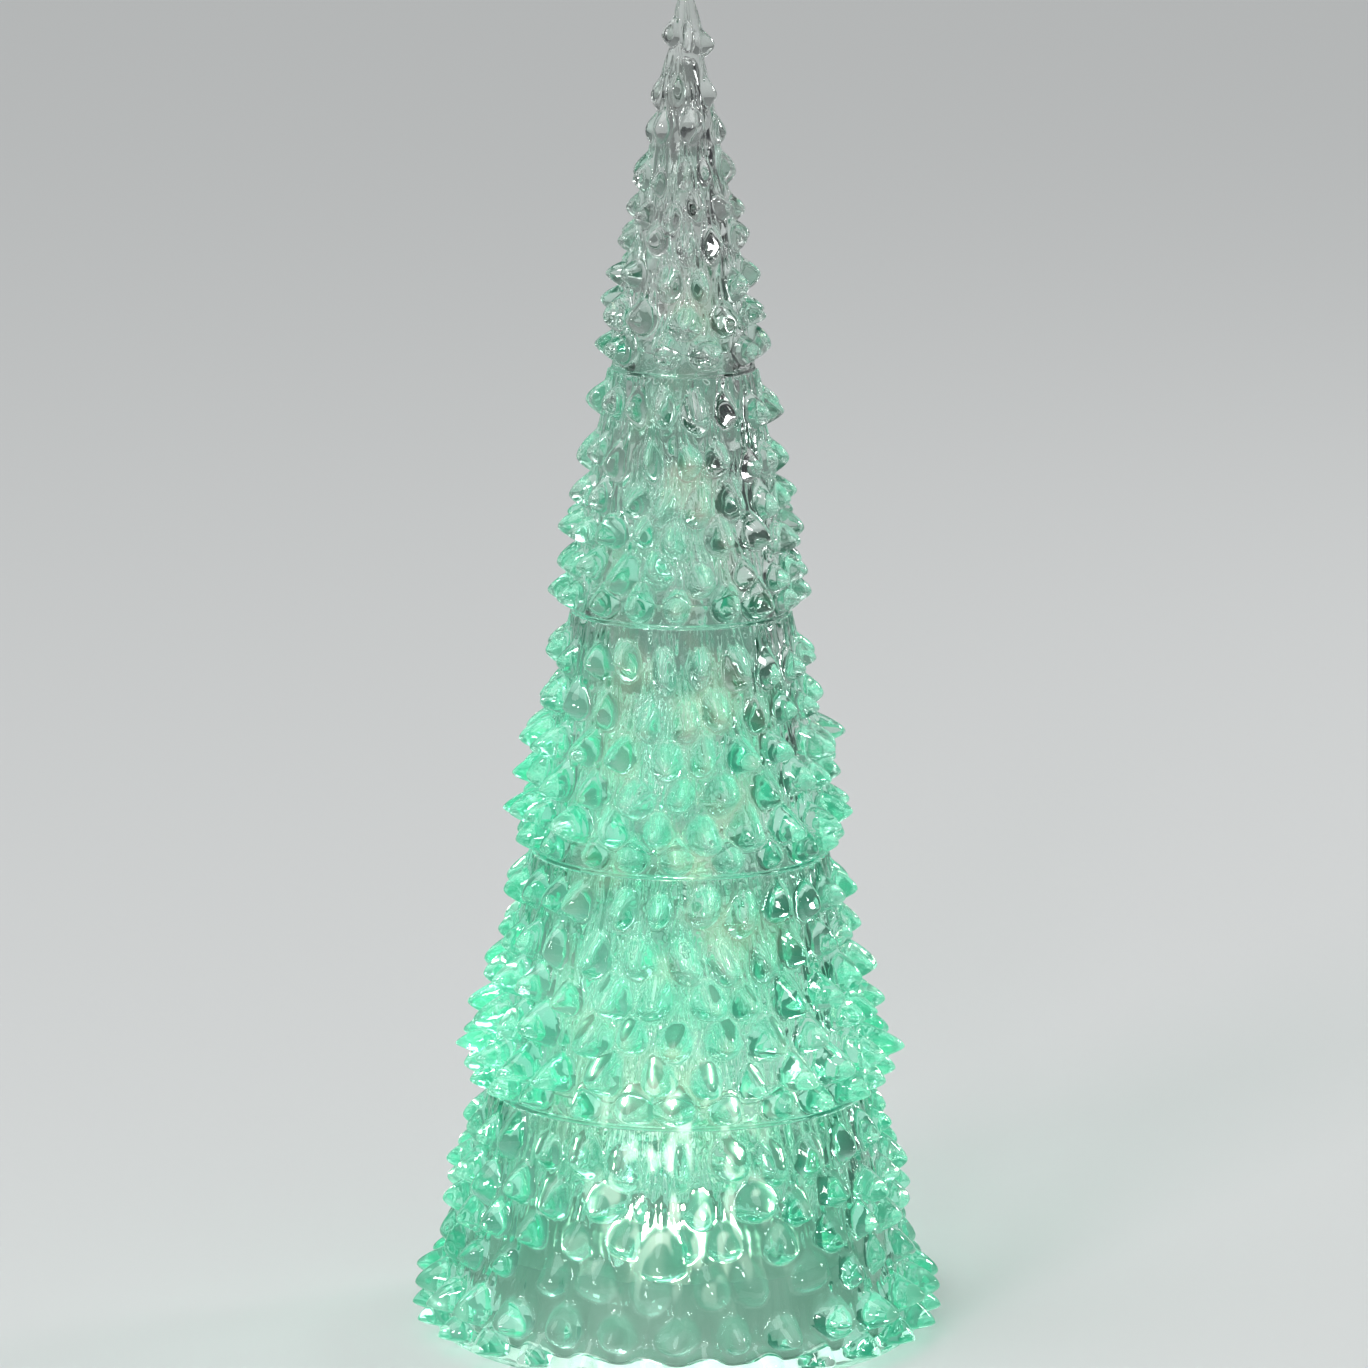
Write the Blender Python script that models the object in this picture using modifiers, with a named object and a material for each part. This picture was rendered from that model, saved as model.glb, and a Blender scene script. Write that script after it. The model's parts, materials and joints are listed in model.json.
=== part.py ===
"""Battery-lit christmas tree: five clear leafy tiers on spigots, over a lamp base with a battery door.

Metres, +Z up. The origin is the middle of the footprint on the table, and the front of the tree faces -Y.
"""

import math

import bmesh
import bpy
from mathutils import Matrix, Vector

# Fits and cuts
FIT_GAP = 0.0003
CUT_OVERRUN = 0.001
JOIN_OVERLAP = 0.0005
MERGE_DISTANCE = 0.00001

# Clear tiers: heights from seam to seam, and body radii at the seams
SKIRT_LIFT = 0.0015
BASE_TIER_HEIGHT = 0.057
LOWER_TIER_HEIGHT = 0.057
MIDDLE_TIER_HEIGHT = 0.057
UPPER_TIER_HEIGHT = 0.057
TOP_TIER_HEIGHT = 0.0905
SKIRT_RADIUS = 0.0575
LOWER_SEAM_RADIUS = 0.0445
MIDDLE_SEAM_RADIUS = 0.0345
UPPER_SEAM_RADIUS = 0.0255
TOP_SEAM_RADIUS = 0.0168
TIP_RADIUS = 0.001
TIER_WALL = 0.0025
CAVITY_TIP_RADIUS = 0.002

# Rim band, spigot and the slope of the wall under it
RIM_HEIGHT = 0.003
SKIRT_RIM_HEIGHT = 0.0012
RIM_PROUD = 0.0008
RIM_EDGE = 0.0004
SHOULDER_WIDTH = 0.0028
SPIGOT_HEIGHT = 0.005
SPIGOT_WALL = 0.002
NECK_SLOPE_HEIGHT = 0.003

# Leaves: a fan that widens downwards, and a short steep underside
LEAF_REACH = 0.008
LEAF_LENGTH = 0.015
TOP_LEAF_LENGTH = 0.0105
LEAF_DROP = 0.003
FAN_SLOPE_POWER = 1.15
FAN_TAPER_SHARE = 0.55
LOBE_ROUND_POWER = 1.9
REACH_VARIATION_SHARE = 0.1
LEAF_VARIATION_TURN = 2.4
ROW_VARIATION_TURN = 1.7
COLUMNS_PER_LEAF = 2

# Lamp base, from the table up
FOOT_HEIGHT = 0.0018
FOOT_RADIUS = 0.0055
FOOT_EDGE = 0.0004
FOOT_CIRCLE_SHARE = 0.8
PLATE_THICKNESS = 0.003
HOUSING_WALL = 0.0016
DECK_THICKNESS = 0.0015

# Battery cells, their contacts and their bay
CELL_RADIUS = 0.0051
CELL_LENGTH = 0.0445
CELL_NUB_RADIUS = 0.0019
CELL_NUB_LENGTH = 0.0008
CELL_EDGE = 0.0005
CELL_PITCH = 0.0112
CELL_SIDE_GAP = 0.0007
CELL_ROOF_GAP = 0.001
CELL_DOOR_GAP = 0.0005
CONTACT_THICKNESS = 0.0004
CONTACT_WIDTH = 0.0072
CONTACT_HEIGHT = 0.0092
SPRING_LENGTH = 0.0042
SPRING_WIRE_RADIUS = 0.0003
SPRING_WIDE_RADIUS = 0.0033
SPRING_NARROW_RADIUS = 0.0017
SPRING_TURNS = 3.25
SPRING_POINTS_PER_TURN = 10
BAY_WALL = 0.002
BAY_ROOF = 0.0015
BAY_CENTRE_Y = 0.006

# Battery door
DOOR_THICKNESS = 0.0018
DOOR_LEDGE = 0.001
HINGE_LIP = 0.0006
TAB_REACH = 0.0012
TAB_THICKNESS = 0.0008
TAB_WIDTH = 0.006
TAB_SPREAD = 0.010
LATCH_LENGTH = 0.009
LATCH_WIDTH = 0.010
LATCH_SLOT = 0.0008
SCOOP_LENGTH = 0.005
SCOOP_DEPTH = 0.0015

# Screws
SCREW_CIRCLE_SHARE = 0.7652174
SCREW_HEAD_RADIUS = 0.0028
SCREW_HEAD_HEIGHT = 0.0014
SCREW_SHANK_RADIUS = 0.0013
SCREW_SHANK_LENGTH = 0.0102
SCREW_TIP_GAP = 0.001
SCREW_SLOT_WIDTH = 0.0007
SCREW_SLOT_LENGTH = 0.0034
SCREW_SLOT_DEPTH = 0.0007
BOSS_RADIUS = 0.0034
BOARD_SCREW_HEAD_RADIUS = 0.0021
BOARD_SCREW_HEAD_HEIGHT = 0.0012
BOARD_SCREW_SHANK_RADIUS = 0.001
BOARD_SCREW_BITE = 0.001
BOARD_SCREW_SPREAD = 0.013
BOARD_POST_RADIUS = 0.0026

# Circuit board and what stands on it
BOARD_RADIUS = 0.017
BOARD_THICKNESS = 0.0016
BOARD_TO_DECK = 0.0015
LED_CIRCLE_RADIUS = 0.007
LED_RADIUS = 0.0025
LED_LENGTH = 0.0086
LED_FLANGE_RADIUS = 0.0029
LED_FLANGE_HEIGHT = 0.0009
CHIP_LENGTH = 0.005
CHIP_WIDTH = 0.004
CHIP_HEIGHT = 0.0009
CHIP_CENTRE_Y = -0.0115
RESISTOR_LENGTH = 0.0032
RESISTOR_WIDTH = 0.0016
RESISTOR_HEIGHT = 0.0006
RESISTOR_CIRCLE_RADIUS = 0.0122

# Slide switch
SWITCH_BOARD_DISTANCE = 0.016
SWITCH_LENGTH = 0.012
SWITCH_WIDTH = 0.006
SWITCH_HEIGHT = 0.005
SWITCH_TRAVEL = 0.003
KNOB_LENGTH = 0.003
KNOB_WIDTH = 0.0026
KNOB_PROUD = 0.0012
KNOB_FLANGE_LENGTH = 0.005
KNOB_FLANGE_WIDTH = 0.0036
KNOB_FLANGE_HEIGHT = 0.0018
LUG_PITCH = 0.0035
LUG_HEIGHT = 0.0025
LUG_LENGTH = 0.0012
LUG_THICKNESS = 0.0005

# Wires
WIRE_RADIUS = 0.00065
WIRE_POINT_SPACING = 0.003
WIRE_BEND = 0.0035

# Sides of the round pieces
PLATE_STEPS = 48
BOARD_STEPS = 32
CELL_STEPS = 24
SMALL_STEPS = 16

# Worked out from the sizes above: heights of the seams
LOWER_SEAM = SKIRT_LIFT + BASE_TIER_HEIGHT
MIDDLE_SEAM = LOWER_SEAM + LOWER_TIER_HEIGHT
UPPER_SEAM = MIDDLE_SEAM + MIDDLE_TIER_HEIGHT
TOP_SEAM = UPPER_SEAM + UPPER_TIER_HEIGHT

# Worked out: circles that follow the skirt's radius
FOOT_CIRCLE_RADIUS = SKIRT_RADIUS * FOOT_CIRCLE_SHARE
SCREW_CIRCLE_RADIUS = SKIRT_RADIUS * SCREW_CIRCLE_SHARE

# Worked out: the lamp base from the table up
PLATE_BOTTOM = FOOT_HEIGHT + FIT_GAP
PLATE_TOP = PLATE_BOTTOM + PLATE_THICKNESS
PLATE_SEAT = PLATE_TOP + FIT_GAP
DOOR_TOP = PLATE_BOTTOM + DOOR_THICKNESS
CELL_AXIS = DOOR_TOP + CELL_DOOR_GAP + CELL_RADIUS
BAY_CEILING = CELL_AXIS + CELL_RADIUS + CELL_ROOF_GAP
BAY_TOP = BAY_CEILING + BAY_ROOF
BAY_HALF_X = (CELL_LENGTH + SPRING_LENGTH + 2 * CONTACT_THICKNESS + 5 * FIT_GAP) / 2
BAY_HALF_Y = CELL_PITCH + CELL_RADIUS + CELL_SIDE_GAP
CONTACT_FACE_X = BAY_HALF_X - FIT_GAP - CONTACT_THICKNESS
BOARD_BOTTOM = BAY_TOP + FIT_GAP + BOARD_SCREW_HEAD_HEIGHT + FIT_GAP
BOARD_TOP = BOARD_BOTTOM + BOARD_THICKNESS
BOARD_PARTS_SEAT = BOARD_TOP + FIT_GAP
DECK_BOTTOM = BOARD_TOP + BOARD_TO_DECK
DECK_TOP = DECK_BOTTOM + DECK_THICKNESS
SWITCH_CENTRE_Y = -(BOARD_RADIUS + SWITCH_BOARD_DISTANCE)
SCREW_HEAD_BOTTOM = PLATE_BOTTOM + FIT_GAP
SCREW_HEAD_TOP = SCREW_HEAD_BOTTOM + SCREW_HEAD_HEIGHT
SWITCH_TOP = PLATE_SEAT + SWITCH_HEIGHT
KNOB_FLANGE_TOP = PLATE_SEAT + KNOB_FLANGE_HEIGHT
WIRE_LEVEL = (BOARD_BOTTOM + BOARD_TOP) / 2

THIRD_TURN = 2 * math.pi / 3
QUARTER_TURN = math.pi / 2
THREE_ANGLES = [QUARTER_TURN + k * THIRD_TURN for k in range(3)]
FOOT_ANGLES = [QUARTER_TURN / 2 + k * QUARTER_TURN for k in range(4)]
SMOOTH_ANGLE = math.radians(35)
FLAT_SHARE = 0.9999


class Tier:
    """One clear moulded tier: a cone of the body between two seams, with rows of leaves on it."""

    def __init__(self, name, seam, height, foot_radius, neck_radius, leaves, tip_shares, reach_shares):
        self.name = name
        self.foot = seam
        self.top = seam + height
        self.foot_radius = foot_radius
        self.neck_radius = neck_radius
        self.leaves = leaves
        self.tips = [seam + height * share for share in tip_shares]
        self.reaches = [LEAF_REACH * share for share in reach_shares]
        self.leaf_length = LEAF_LENGTH
        self.rim_height = RIM_HEIGHT
        self.bottom = seam + FIT_GAP
        self.even_rows = 0
        self.sparse_rows = len(tip_shares)

    @property
    def rim_top(self):
        return self.bottom + self.rim_height

    @property
    def columns(self):
        return self.leaves * COLUMNS_PER_LEAF

    @property
    def flat_share(self):
        """A turned wall has flat sides: the share of its radius that lies clear inside it."""
        return math.cos(math.pi / self.columns)

    def body(self, z):
        """Radius of the plain body, without its leaves."""
        share = (z - self.foot) / (self.top - self.foot)
        return self.foot_radius + (self.neck_radius - self.foot_radius) * share

    def bore(self, z):
        """Radius of the hollow inside."""
        return self.body(z) - TIER_WALL

    def leaf_height(self, angle, z):
        """How far the leaves stand out from the body at this angle and height."""
        highest = 0
        for row, (tip, reach) in enumerate(zip(self.tips, self.reaches)):
            leaves = self.leaves if row < self.sparse_rows else self.leaves // 2
            turn = angle / (2 * math.pi) * leaves + row % 2 / 2
            number = round(turn) % leaves
            sideways = 2 * abs(turn - round(turn))
            if row >= self.even_rows:
                swing = math.sin(LEAF_VARIATION_TURN * number + ROW_VARIATION_TURN * row)
                reach = reach * (1 + REACH_VARIATION_SHARE * swing)
            if z >= tip:
                up = min((z - tip) / self.leaf_length, 1)
                along = (1 - up) ** FAN_SLOPE_POWER
                width = 1 - FAN_TAPER_SHARE * up
            else:
                drop = min(LEAF_DROP, tip - self.rim_top)
                along = max(1 - (tip - z) / drop, 0)
                width = 1
            across = max(1 - (sideways / width) ** LOBE_ROUND_POWER, 0)
            highest = max(highest, reach * along * across)
        return highest


def tiers():
    """The five tiers from the table up. Shares of the tier's height, and of the leaf reach, run upwards."""
    base = Tier(
        "base_tier", SKIRT_LIFT, BASE_TIER_HEIGHT, SKIRT_RADIUS, LOWER_SEAM_RADIUS, 26,
        tip_shares=(0.055, 0.181, 0.36, 0.528, 0.677, 0.849),
        reach_shares=(0.8, 0.98, 0.5, 0.7, 0.78, 0.57),
    )
    base.bottom = SKIRT_LIFT
    base.rim_height = SKIRT_RIM_HEIGHT
    base.even_rows = 2
    lower = Tier(
        "lower_tier", LOWER_SEAM, LOWER_TIER_HEIGHT, LOWER_SEAM_RADIUS, MIDDLE_SEAM_RADIUS, 24,
        tip_shares=(0.08, 0.175, 0.325, 0.48, 0.64, 0.833),
        reach_shares=(0.98, 1.2, 1.0, 0.93, 0.57, 0.66),
    )
    middle = Tier(
        "middle_tier", MIDDLE_SEAM, MIDDLE_TIER_HEIGHT, MIDDLE_SEAM_RADIUS, UPPER_SEAM_RADIUS, 20,
        tip_shares=(0.08, 0.16, 0.31, 0.455, 0.62, 0.8),
        reach_shares=(0.68, 1.04, 0.85, 1.0, 0.61, 0.6),
    )
    upper = Tier(
        "upper_tier", UPPER_SEAM, UPPER_TIER_HEIGHT, UPPER_SEAM_RADIUS, TOP_SEAM_RADIUS, 16,
        tip_shares=(0.086, 0.184, 0.35, 0.474, 0.632, 0.842),
        reach_shares=(0.73, 0.69, 0.8, 0.64, 0.55, 0.65),
    )
    top = Tier(
        "top_tier", TOP_SEAM, TOP_TIER_HEIGHT, TOP_SEAM_RADIUS, TIP_RADIUS, 10,
        tip_shares=(0.065, 0.135, 0.227, 0.32, 0.401, 0.496, 0.602, 0.696, 0.84),
        reach_shares=(0.63, 0.66, 0.58, 0.49, 0.44, 0.47, 0.34, 0.3, 0.36),
    )
    top.leaf_length = TOP_LEAF_LENGTH
    top.sparse_rows = 6
    return [base, lower, middle, upper, top]


def clear_scene():
    for obj in list(bpy.data.objects):
        bpy.data.objects.remove(obj)


def new_collection(name):
    collection = bpy.data.collections.new(name)
    bpy.context.scene.collection.children.link(collection)
    return collection


def finish(name, colour, roughness, metallic=0.0, transmission=0.0, glow=0.0):
    """A Principled material in the colour of its piece."""
    material = bpy.data.materials.new(name)
    material.use_nodes = True
    shader = material.node_tree.nodes["Principled BSDF"]
    shader.inputs["Base Color"].default_value = (*colour, 1)
    shader.inputs["Roughness"].default_value = roughness
    shader.inputs["Metallic"].default_value = metallic
    shader.inputs["Transmission Weight"].default_value = transmission
    shader.inputs["Emission Color"].default_value = (*colour, 1)
    shader.inputs["Emission Strength"].default_value = glow
    material.diffuse_color = (*colour, 1)
    return material


def placed(name, mesh, collection, material=None, at=(0, 0, 0)):
    """A mesh as a named object of the collection."""
    obj = bpy.data.objects.new(name, mesh)
    obj.location = at
    if material:
        mesh.materials.clear()
        mesh.materials.append(material)
    collection.objects.link(obj)
    return obj


def settled(obj):
    """The object with its modifiers in its mesh, welded, each flat end one face, and shaded smooth."""
    graph = bpy.context.evaluated_depsgraph_get()
    mesh = bpy.data.meshes.new_from_object(obj.evaluated_get(graph))
    shape = bmesh.new()
    shape.from_mesh(mesh)
    bmesh.ops.remove_doubles(shape, verts=shape.verts, dist=MERGE_DISTANCE)
    flat_poles = [
        vertex for vertex in shape.verts
        if math.hypot(vertex.co.x, vertex.co.y) < MERGE_DISTANCE
        and all(abs(face.normal.z) > FLAT_SHARE for face in vertex.link_faces)
    ]
    bmesh.ops.dissolve_verts(shape, verts=flat_poles)
    shape.to_mesh(mesh)
    shape.free()
    mesh.shade_smooth()
    mesh.set_sharp_from_angle(angle=SMOOTH_ANGLE)
    obj.modifiers.clear()
    obj.data = mesh
    return obj


def turned(name, outline, steps, collection, material=None, at=(0, 0, 0), ring=False):
    """A turned piece. Its outline of (radius, height) runs down the outer side, and a ring's closes."""
    mesh = bpy.data.meshes.new(name)
    edges = [(i, i + 1) for i in range(len(outline) - 1)]
    if ring:
        edges.append((len(outline) - 1, 0))
    mesh.from_pydata([(radius, 0, height) for radius, height in outline], edges, [])
    obj = placed(name, mesh, collection, material, at)
    screw = obj.modifiers.new("Turn", "SCREW")
    screw.steps = steps
    screw.render_steps = steps
    screw.use_merge_vertices = True
    screw.merge_threshold = MERGE_DISTANCE
    return settled(obj)


def rod(name, radius, bottom, top, steps, collection, material=None, at=(0, 0)):
    """An upright cylinder."""
    mesh = bpy.data.meshes.new(name)
    shape = bmesh.new()
    bmesh.ops.create_cone(
        shape, cap_ends=True, segments=steps, radius1=radius, radius2=radius, depth=top - bottom,
    )
    shape.to_mesh(mesh)
    shape.free()
    mesh.shade_smooth()
    mesh.set_sharp_from_angle(angle=SMOOTH_ANGLE)
    return placed(name, mesh, collection, material, at=(*at, (top + bottom) / 2))


def block(name, low, high, collection, material=None):
    """A box between two corners."""
    mesh = bpy.data.meshes.new(name)
    shape = bmesh.new()
    bmesh.ops.create_cube(shape, size=1)
    low, high = Vector(low), Vector(high)
    size = high - low
    bmesh.ops.transform(shape, matrix=Matrix.Diagonal((*size, 1)), verts=shape.verts)
    shape.to_mesh(mesh)
    shape.free()
    return placed(name, mesh, collection, material, at=(low + high) / 2)


def combine(obj, other, operation):
    """A Boolean with a hidden helper piece."""
    other.hide_render = True
    other.display_type = "WIRE"
    boolean = obj.modifiers.new(other.name, "BOOLEAN")
    boolean.operation = operation
    boolean.object = other
    boolean.solver = "EXACT"


def cut(obj, cutter):
    combine(obj, cutter, "DIFFERENCE")


def join(obj, addition):
    combine(obj, addition, "UNION")


def on_circle(radius, angle):
    return (radius * math.cos(angle), radius * math.sin(angle))


# The clear tiers


def outer_levels(tier):
    """Heights on the outer wall from the top down: the tip and the underside of every row of leaves."""
    levels = set()
    for tip in tier.tips:
        levels.add(tip)
        levels.add(max(tip - LEAF_DROP, tier.rim_top))
    return sorted(levels, reverse=True)


def wall_outline(tier):
    """The outer side of a tier from under its shoulder down to the bottom of its rim."""
    outline = [(tier.body(z), z) for z in outer_levels(tier)]
    rim_radius = tier.body(tier.bottom) + RIM_PROUD
    outline.append((tier.body(tier.rim_top) + RIM_PROUD, tier.rim_top - RIM_EDGE))
    outline.append((rim_radius, tier.bottom + RIM_EDGE))
    outline.append((rim_radius - RIM_EDGE, tier.bottom))
    return outline


def socket_outline(tier):
    """The bore from the bottom up: over the spigot below or, in the base tier, over the plate."""
    if tier.name == "base_tier":
        radius, roof = SKIRT_RADIUS - TIER_WALL, PLATE_SEAT
    else:
        radius = (tier.foot_radius - SHOULDER_WIDTH + FIT_GAP) / tier.flat_share
        roof = tier.foot + SPIGOT_HEIGHT + FIT_GAP
    return [(radius, tier.bottom), (radius, roof), (tier.bore(roof), roof)]


def spigot_outline(tier):
    """The spigot that carries the tier above, from the bore up and down its outer side to the shoulder."""
    outer = tier.neck_radius - SHOULDER_WIDTH
    inner = outer - SPIGOT_WALL
    slope_foot = tier.top - NECK_SLOPE_HEIGHT
    return [
        (tier.bore(slope_foot), slope_foot),
        (inner, tier.top),
        (inner, tier.top + SPIGOT_HEIGHT),
        (outer, tier.top + SPIGOT_HEIGHT),
        (outer, tier.top),
        (tier.neck_radius, tier.top),
    ]


def tip_outlines(tier):
    """The blunt tip outside, and the end of the hollow under it."""
    steps = 3
    turns = [QUARTER_TURN * k / steps for k in range(steps + 1)]
    outside = [
        (TIP_RADIUS * math.sin(turn), tier.top - TIP_RADIUS * (1 - math.cos(turn)))
        for turn in turns
    ]
    slope = (tier.foot_radius - tier.neck_radius) / (tier.top - tier.foot)
    end = tier.foot + (tier.foot_radius - TIER_WALL - CAVITY_TIP_RADIUS) / slope
    inside = [(CAVITY_TIP_RADIUS, end), (0, end + CAVITY_TIP_RADIUS)]
    return outside, inside


def make_tier(tier, collection, material):
    """Turns the tier, then raises its leaves out of the outer wall."""
    if tier.name == "top_tier":
        outside, inside = tip_outlines(tier)
        outline = outside + wall_outline(tier) + socket_outline(tier) + inside
    else:
        outline = wall_outline(tier) + socket_outline(tier) + spigot_outline(tier)
    ring = tier.name != "top_tier"
    obj = turned(tier.name, outline, tier.columns, collection, material, ring=ring)
    for vertex in obj.data.vertices:
        x, y, z = vertex.co
        radius = math.hypot(x, y)
        on_wall = tier.rim_top - MERGE_DISTANCE < z < tier.top - MERGE_DISTANCE
        if on_wall and radius > tier.body(z) - TIER_WALL / 2:
            grown = radius + tier.leaf_height(math.atan2(y, x), z)
            vertex.co = (x * grown / radius, y * grown / radius, z)
    fold_alike(obj.data)
    return obj


def fold_alike(mesh):
    """Splits each face along its shorter diagonal, so that both halves of a leaf fold alike."""
    shape = bmesh.new()
    shape.from_mesh(mesh)
    bmesh.ops.triangulate(shape, faces=shape.faces, quad_method="SHORT_EDGE")
    shape.to_mesh(mesh)
    shape.free()
    mesh.set_sharp_from_angle(angle=SMOOTH_ANGLE)


# The lamp base


def make_feet(collection, material):
    outline = [
        (0, FOOT_HEIGHT),
        (FOOT_RADIUS, FOOT_HEIGHT),
        (FOOT_RADIUS, FOOT_EDGE),
        (FOOT_RADIUS - FOOT_EDGE, 0),
        (0, 0),
    ]
    for number, angle in enumerate(FOOT_ANGLES, 1):
        place = (*on_circle(FOOT_CIRCLE_RADIUS, angle), 0)
        turned(f"foot_{number}", outline, CELL_STEPS, collection, material, at=place)


def hinge_pocket_top():
    """The height that clears the corner of a hinge tab as the door swings on its lower edge."""
    tab_top = HINGE_LIP + FIT_GAP + TAB_THICKNESS
    return PLATE_BOTTOM + math.hypot(TAB_REACH, tab_top) + FIT_GAP


def make_base_plate(tier, collection, cutters, material):
    """The floor of the tree: a disc with the battery bay on it, open underneath for the door."""
    radius = (SKIRT_RADIUS - TIER_WALL) * tier.flat_share - FIT_GAP
    plate = rod("base_plate", radius, PLATE_BOTTOM, PLATE_TOP, PLATE_STEPS, collection, material)
    outer_x, outer_y = BAY_HALF_X + BAY_WALL, BAY_HALF_Y + BAY_WALL
    join(plate, block(
        "bay_walls",
        (-outer_x, BAY_CENTRE_Y - outer_y, PLATE_TOP - JOIN_OVERLAP),
        (outer_x, BAY_CENTRE_Y + outer_y, BAY_TOP),
        cutters,
    ))
    cut(plate, block(
        "bay_hollow",
        (-BAY_HALF_X, BAY_CENTRE_Y - BAY_HALF_Y, PLATE_BOTTOM - CUT_OVERRUN),
        (BAY_HALF_X, BAY_CENTRE_Y + BAY_HALF_Y, BAY_CEILING),
        cutters,
    ))
    recess_x, recess_y = BAY_HALF_X + DOOR_LEDGE, BAY_HALF_Y + DOOR_LEDGE
    cut(plate, block(
        "door_recess",
        (-recess_x, BAY_CENTRE_Y - recess_y, PLATE_BOTTOM - CUT_OVERRUN),
        (recess_x, BAY_CENTRE_Y + recess_y, DOOR_TOP + FIT_GAP),
        cutters,
    ))
    pocket_end = recess_x - FIT_GAP + TAB_REACH + FIT_GAP
    pocket_half = TAB_WIDTH / 2 + FIT_GAP
    for side in (-1, 1):
        middle = BAY_CENTRE_Y + side * TAB_SPREAD
        cut(plate, block(
            f"hinge_pocket_{side + 2}",
            (-pocket_end, middle - pocket_half, PLATE_BOTTOM + HINGE_LIP),
            (-BAY_HALF_X + JOIN_OVERLAP, middle + pocket_half, hinge_pocket_top()),
            cutters,
        ))
    cut(plate, block(
        "finger_scoop",
        (recess_x - JOIN_OVERLAP, BAY_CENTRE_Y - LATCH_WIDTH / 2, PLATE_BOTTOM - CUT_OVERRUN),
        (recess_x + SCOOP_LENGTH, BAY_CENTRE_Y + LATCH_WIDTH / 2, PLATE_BOTTOM + SCOOP_DEPTH),
        cutters,
    ))
    for number, angle in enumerate(THREE_ANGLES, 1):
        place = on_circle(SCREW_CIRCLE_RADIUS, angle)
        cut(plate, rod(
            f"head_hole_{number}", SCREW_HEAD_RADIUS + FIT_GAP, PLATE_BOTTOM - CUT_OVERRUN,
            SCREW_HEAD_TOP + FIT_GAP, SMALL_STEPS, cutters, at=place,
        ))
        cut(plate, rod(
            f"shank_hole_{number}", SCREW_SHANK_RADIUS + FIT_GAP, PLATE_BOTTOM - CUT_OVERRUN,
            PLATE_TOP + CUT_OVERRUN, SMALL_STEPS, cutters, at=place,
        ))
    slot_x = (SWITCH_TRAVEL + KNOB_LENGTH) / 2 + FIT_GAP
    slot_y = KNOB_WIDTH / 2 + FIT_GAP
    cut(plate, block(
        "knob_slot",
        (-slot_x, SWITCH_CENTRE_Y - slot_y, PLATE_BOTTOM - CUT_OVERRUN),
        (slot_x, SWITCH_CENTRE_Y + slot_y, PLATE_TOP + CUT_OVERRUN),
        cutters,
    ))
    for number, (x, y) in enumerate(wire_exits(), 1):
        cut(plate, rod(
            f"wire_hole_{number}", WIRE_RADIUS + FIT_GAP, BAY_CEILING - CUT_OVERRUN,
            BAY_TOP + CUT_OVERRUN, SMALL_STEPS, cutters, at=(x, y),
        ))
    return plate


def make_battery_door(collection, cutters, material):
    """The door hinges on the lower edge of its -X end, so its object's origin lies there."""
    hinge = Vector((-(BAY_HALF_X + DOOR_LEDGE - FIT_GAP), BAY_CENTRE_Y, PLATE_BOTTOM))
    length = -2 * hinge.x
    half_width = BAY_HALF_Y + DOOR_LEDGE - FIT_GAP
    far_corner = (length, half_width, DOOR_THICKNESS)
    door = block("battery_door", (0, -half_width, 0), far_corner, collection, material)
    door.data.transform(Matrix.Translation(door.location))
    door.location = hinge
    tab_bottom = HINGE_LIP + FIT_GAP
    for side in (-1, 1):
        tab = block(
            f"hinge_tab_{side + 2}",
            (-TAB_REACH, side * TAB_SPREAD - TAB_WIDTH / 2, tab_bottom),
            (JOIN_OVERLAP, side * TAB_SPREAD + TAB_WIDTH / 2, tab_bottom + TAB_THICKNESS),
            cutters,
        )
        tab.location += hinge
        join(door, tab)
        slot_middle = side * (LATCH_WIDTH - LATCH_SLOT) / 2
        slot = block(
            f"latch_slot_{side + 2}",
            (length - LATCH_LENGTH, slot_middle - LATCH_SLOT / 2, -CUT_OVERRUN),
            (length + CUT_OVERRUN, slot_middle + LATCH_SLOT / 2, DOOR_THICKNESS + CUT_OVERRUN),
            cutters,
        )
        slot.location += hinge
        cut(door, slot)
    return door


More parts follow.
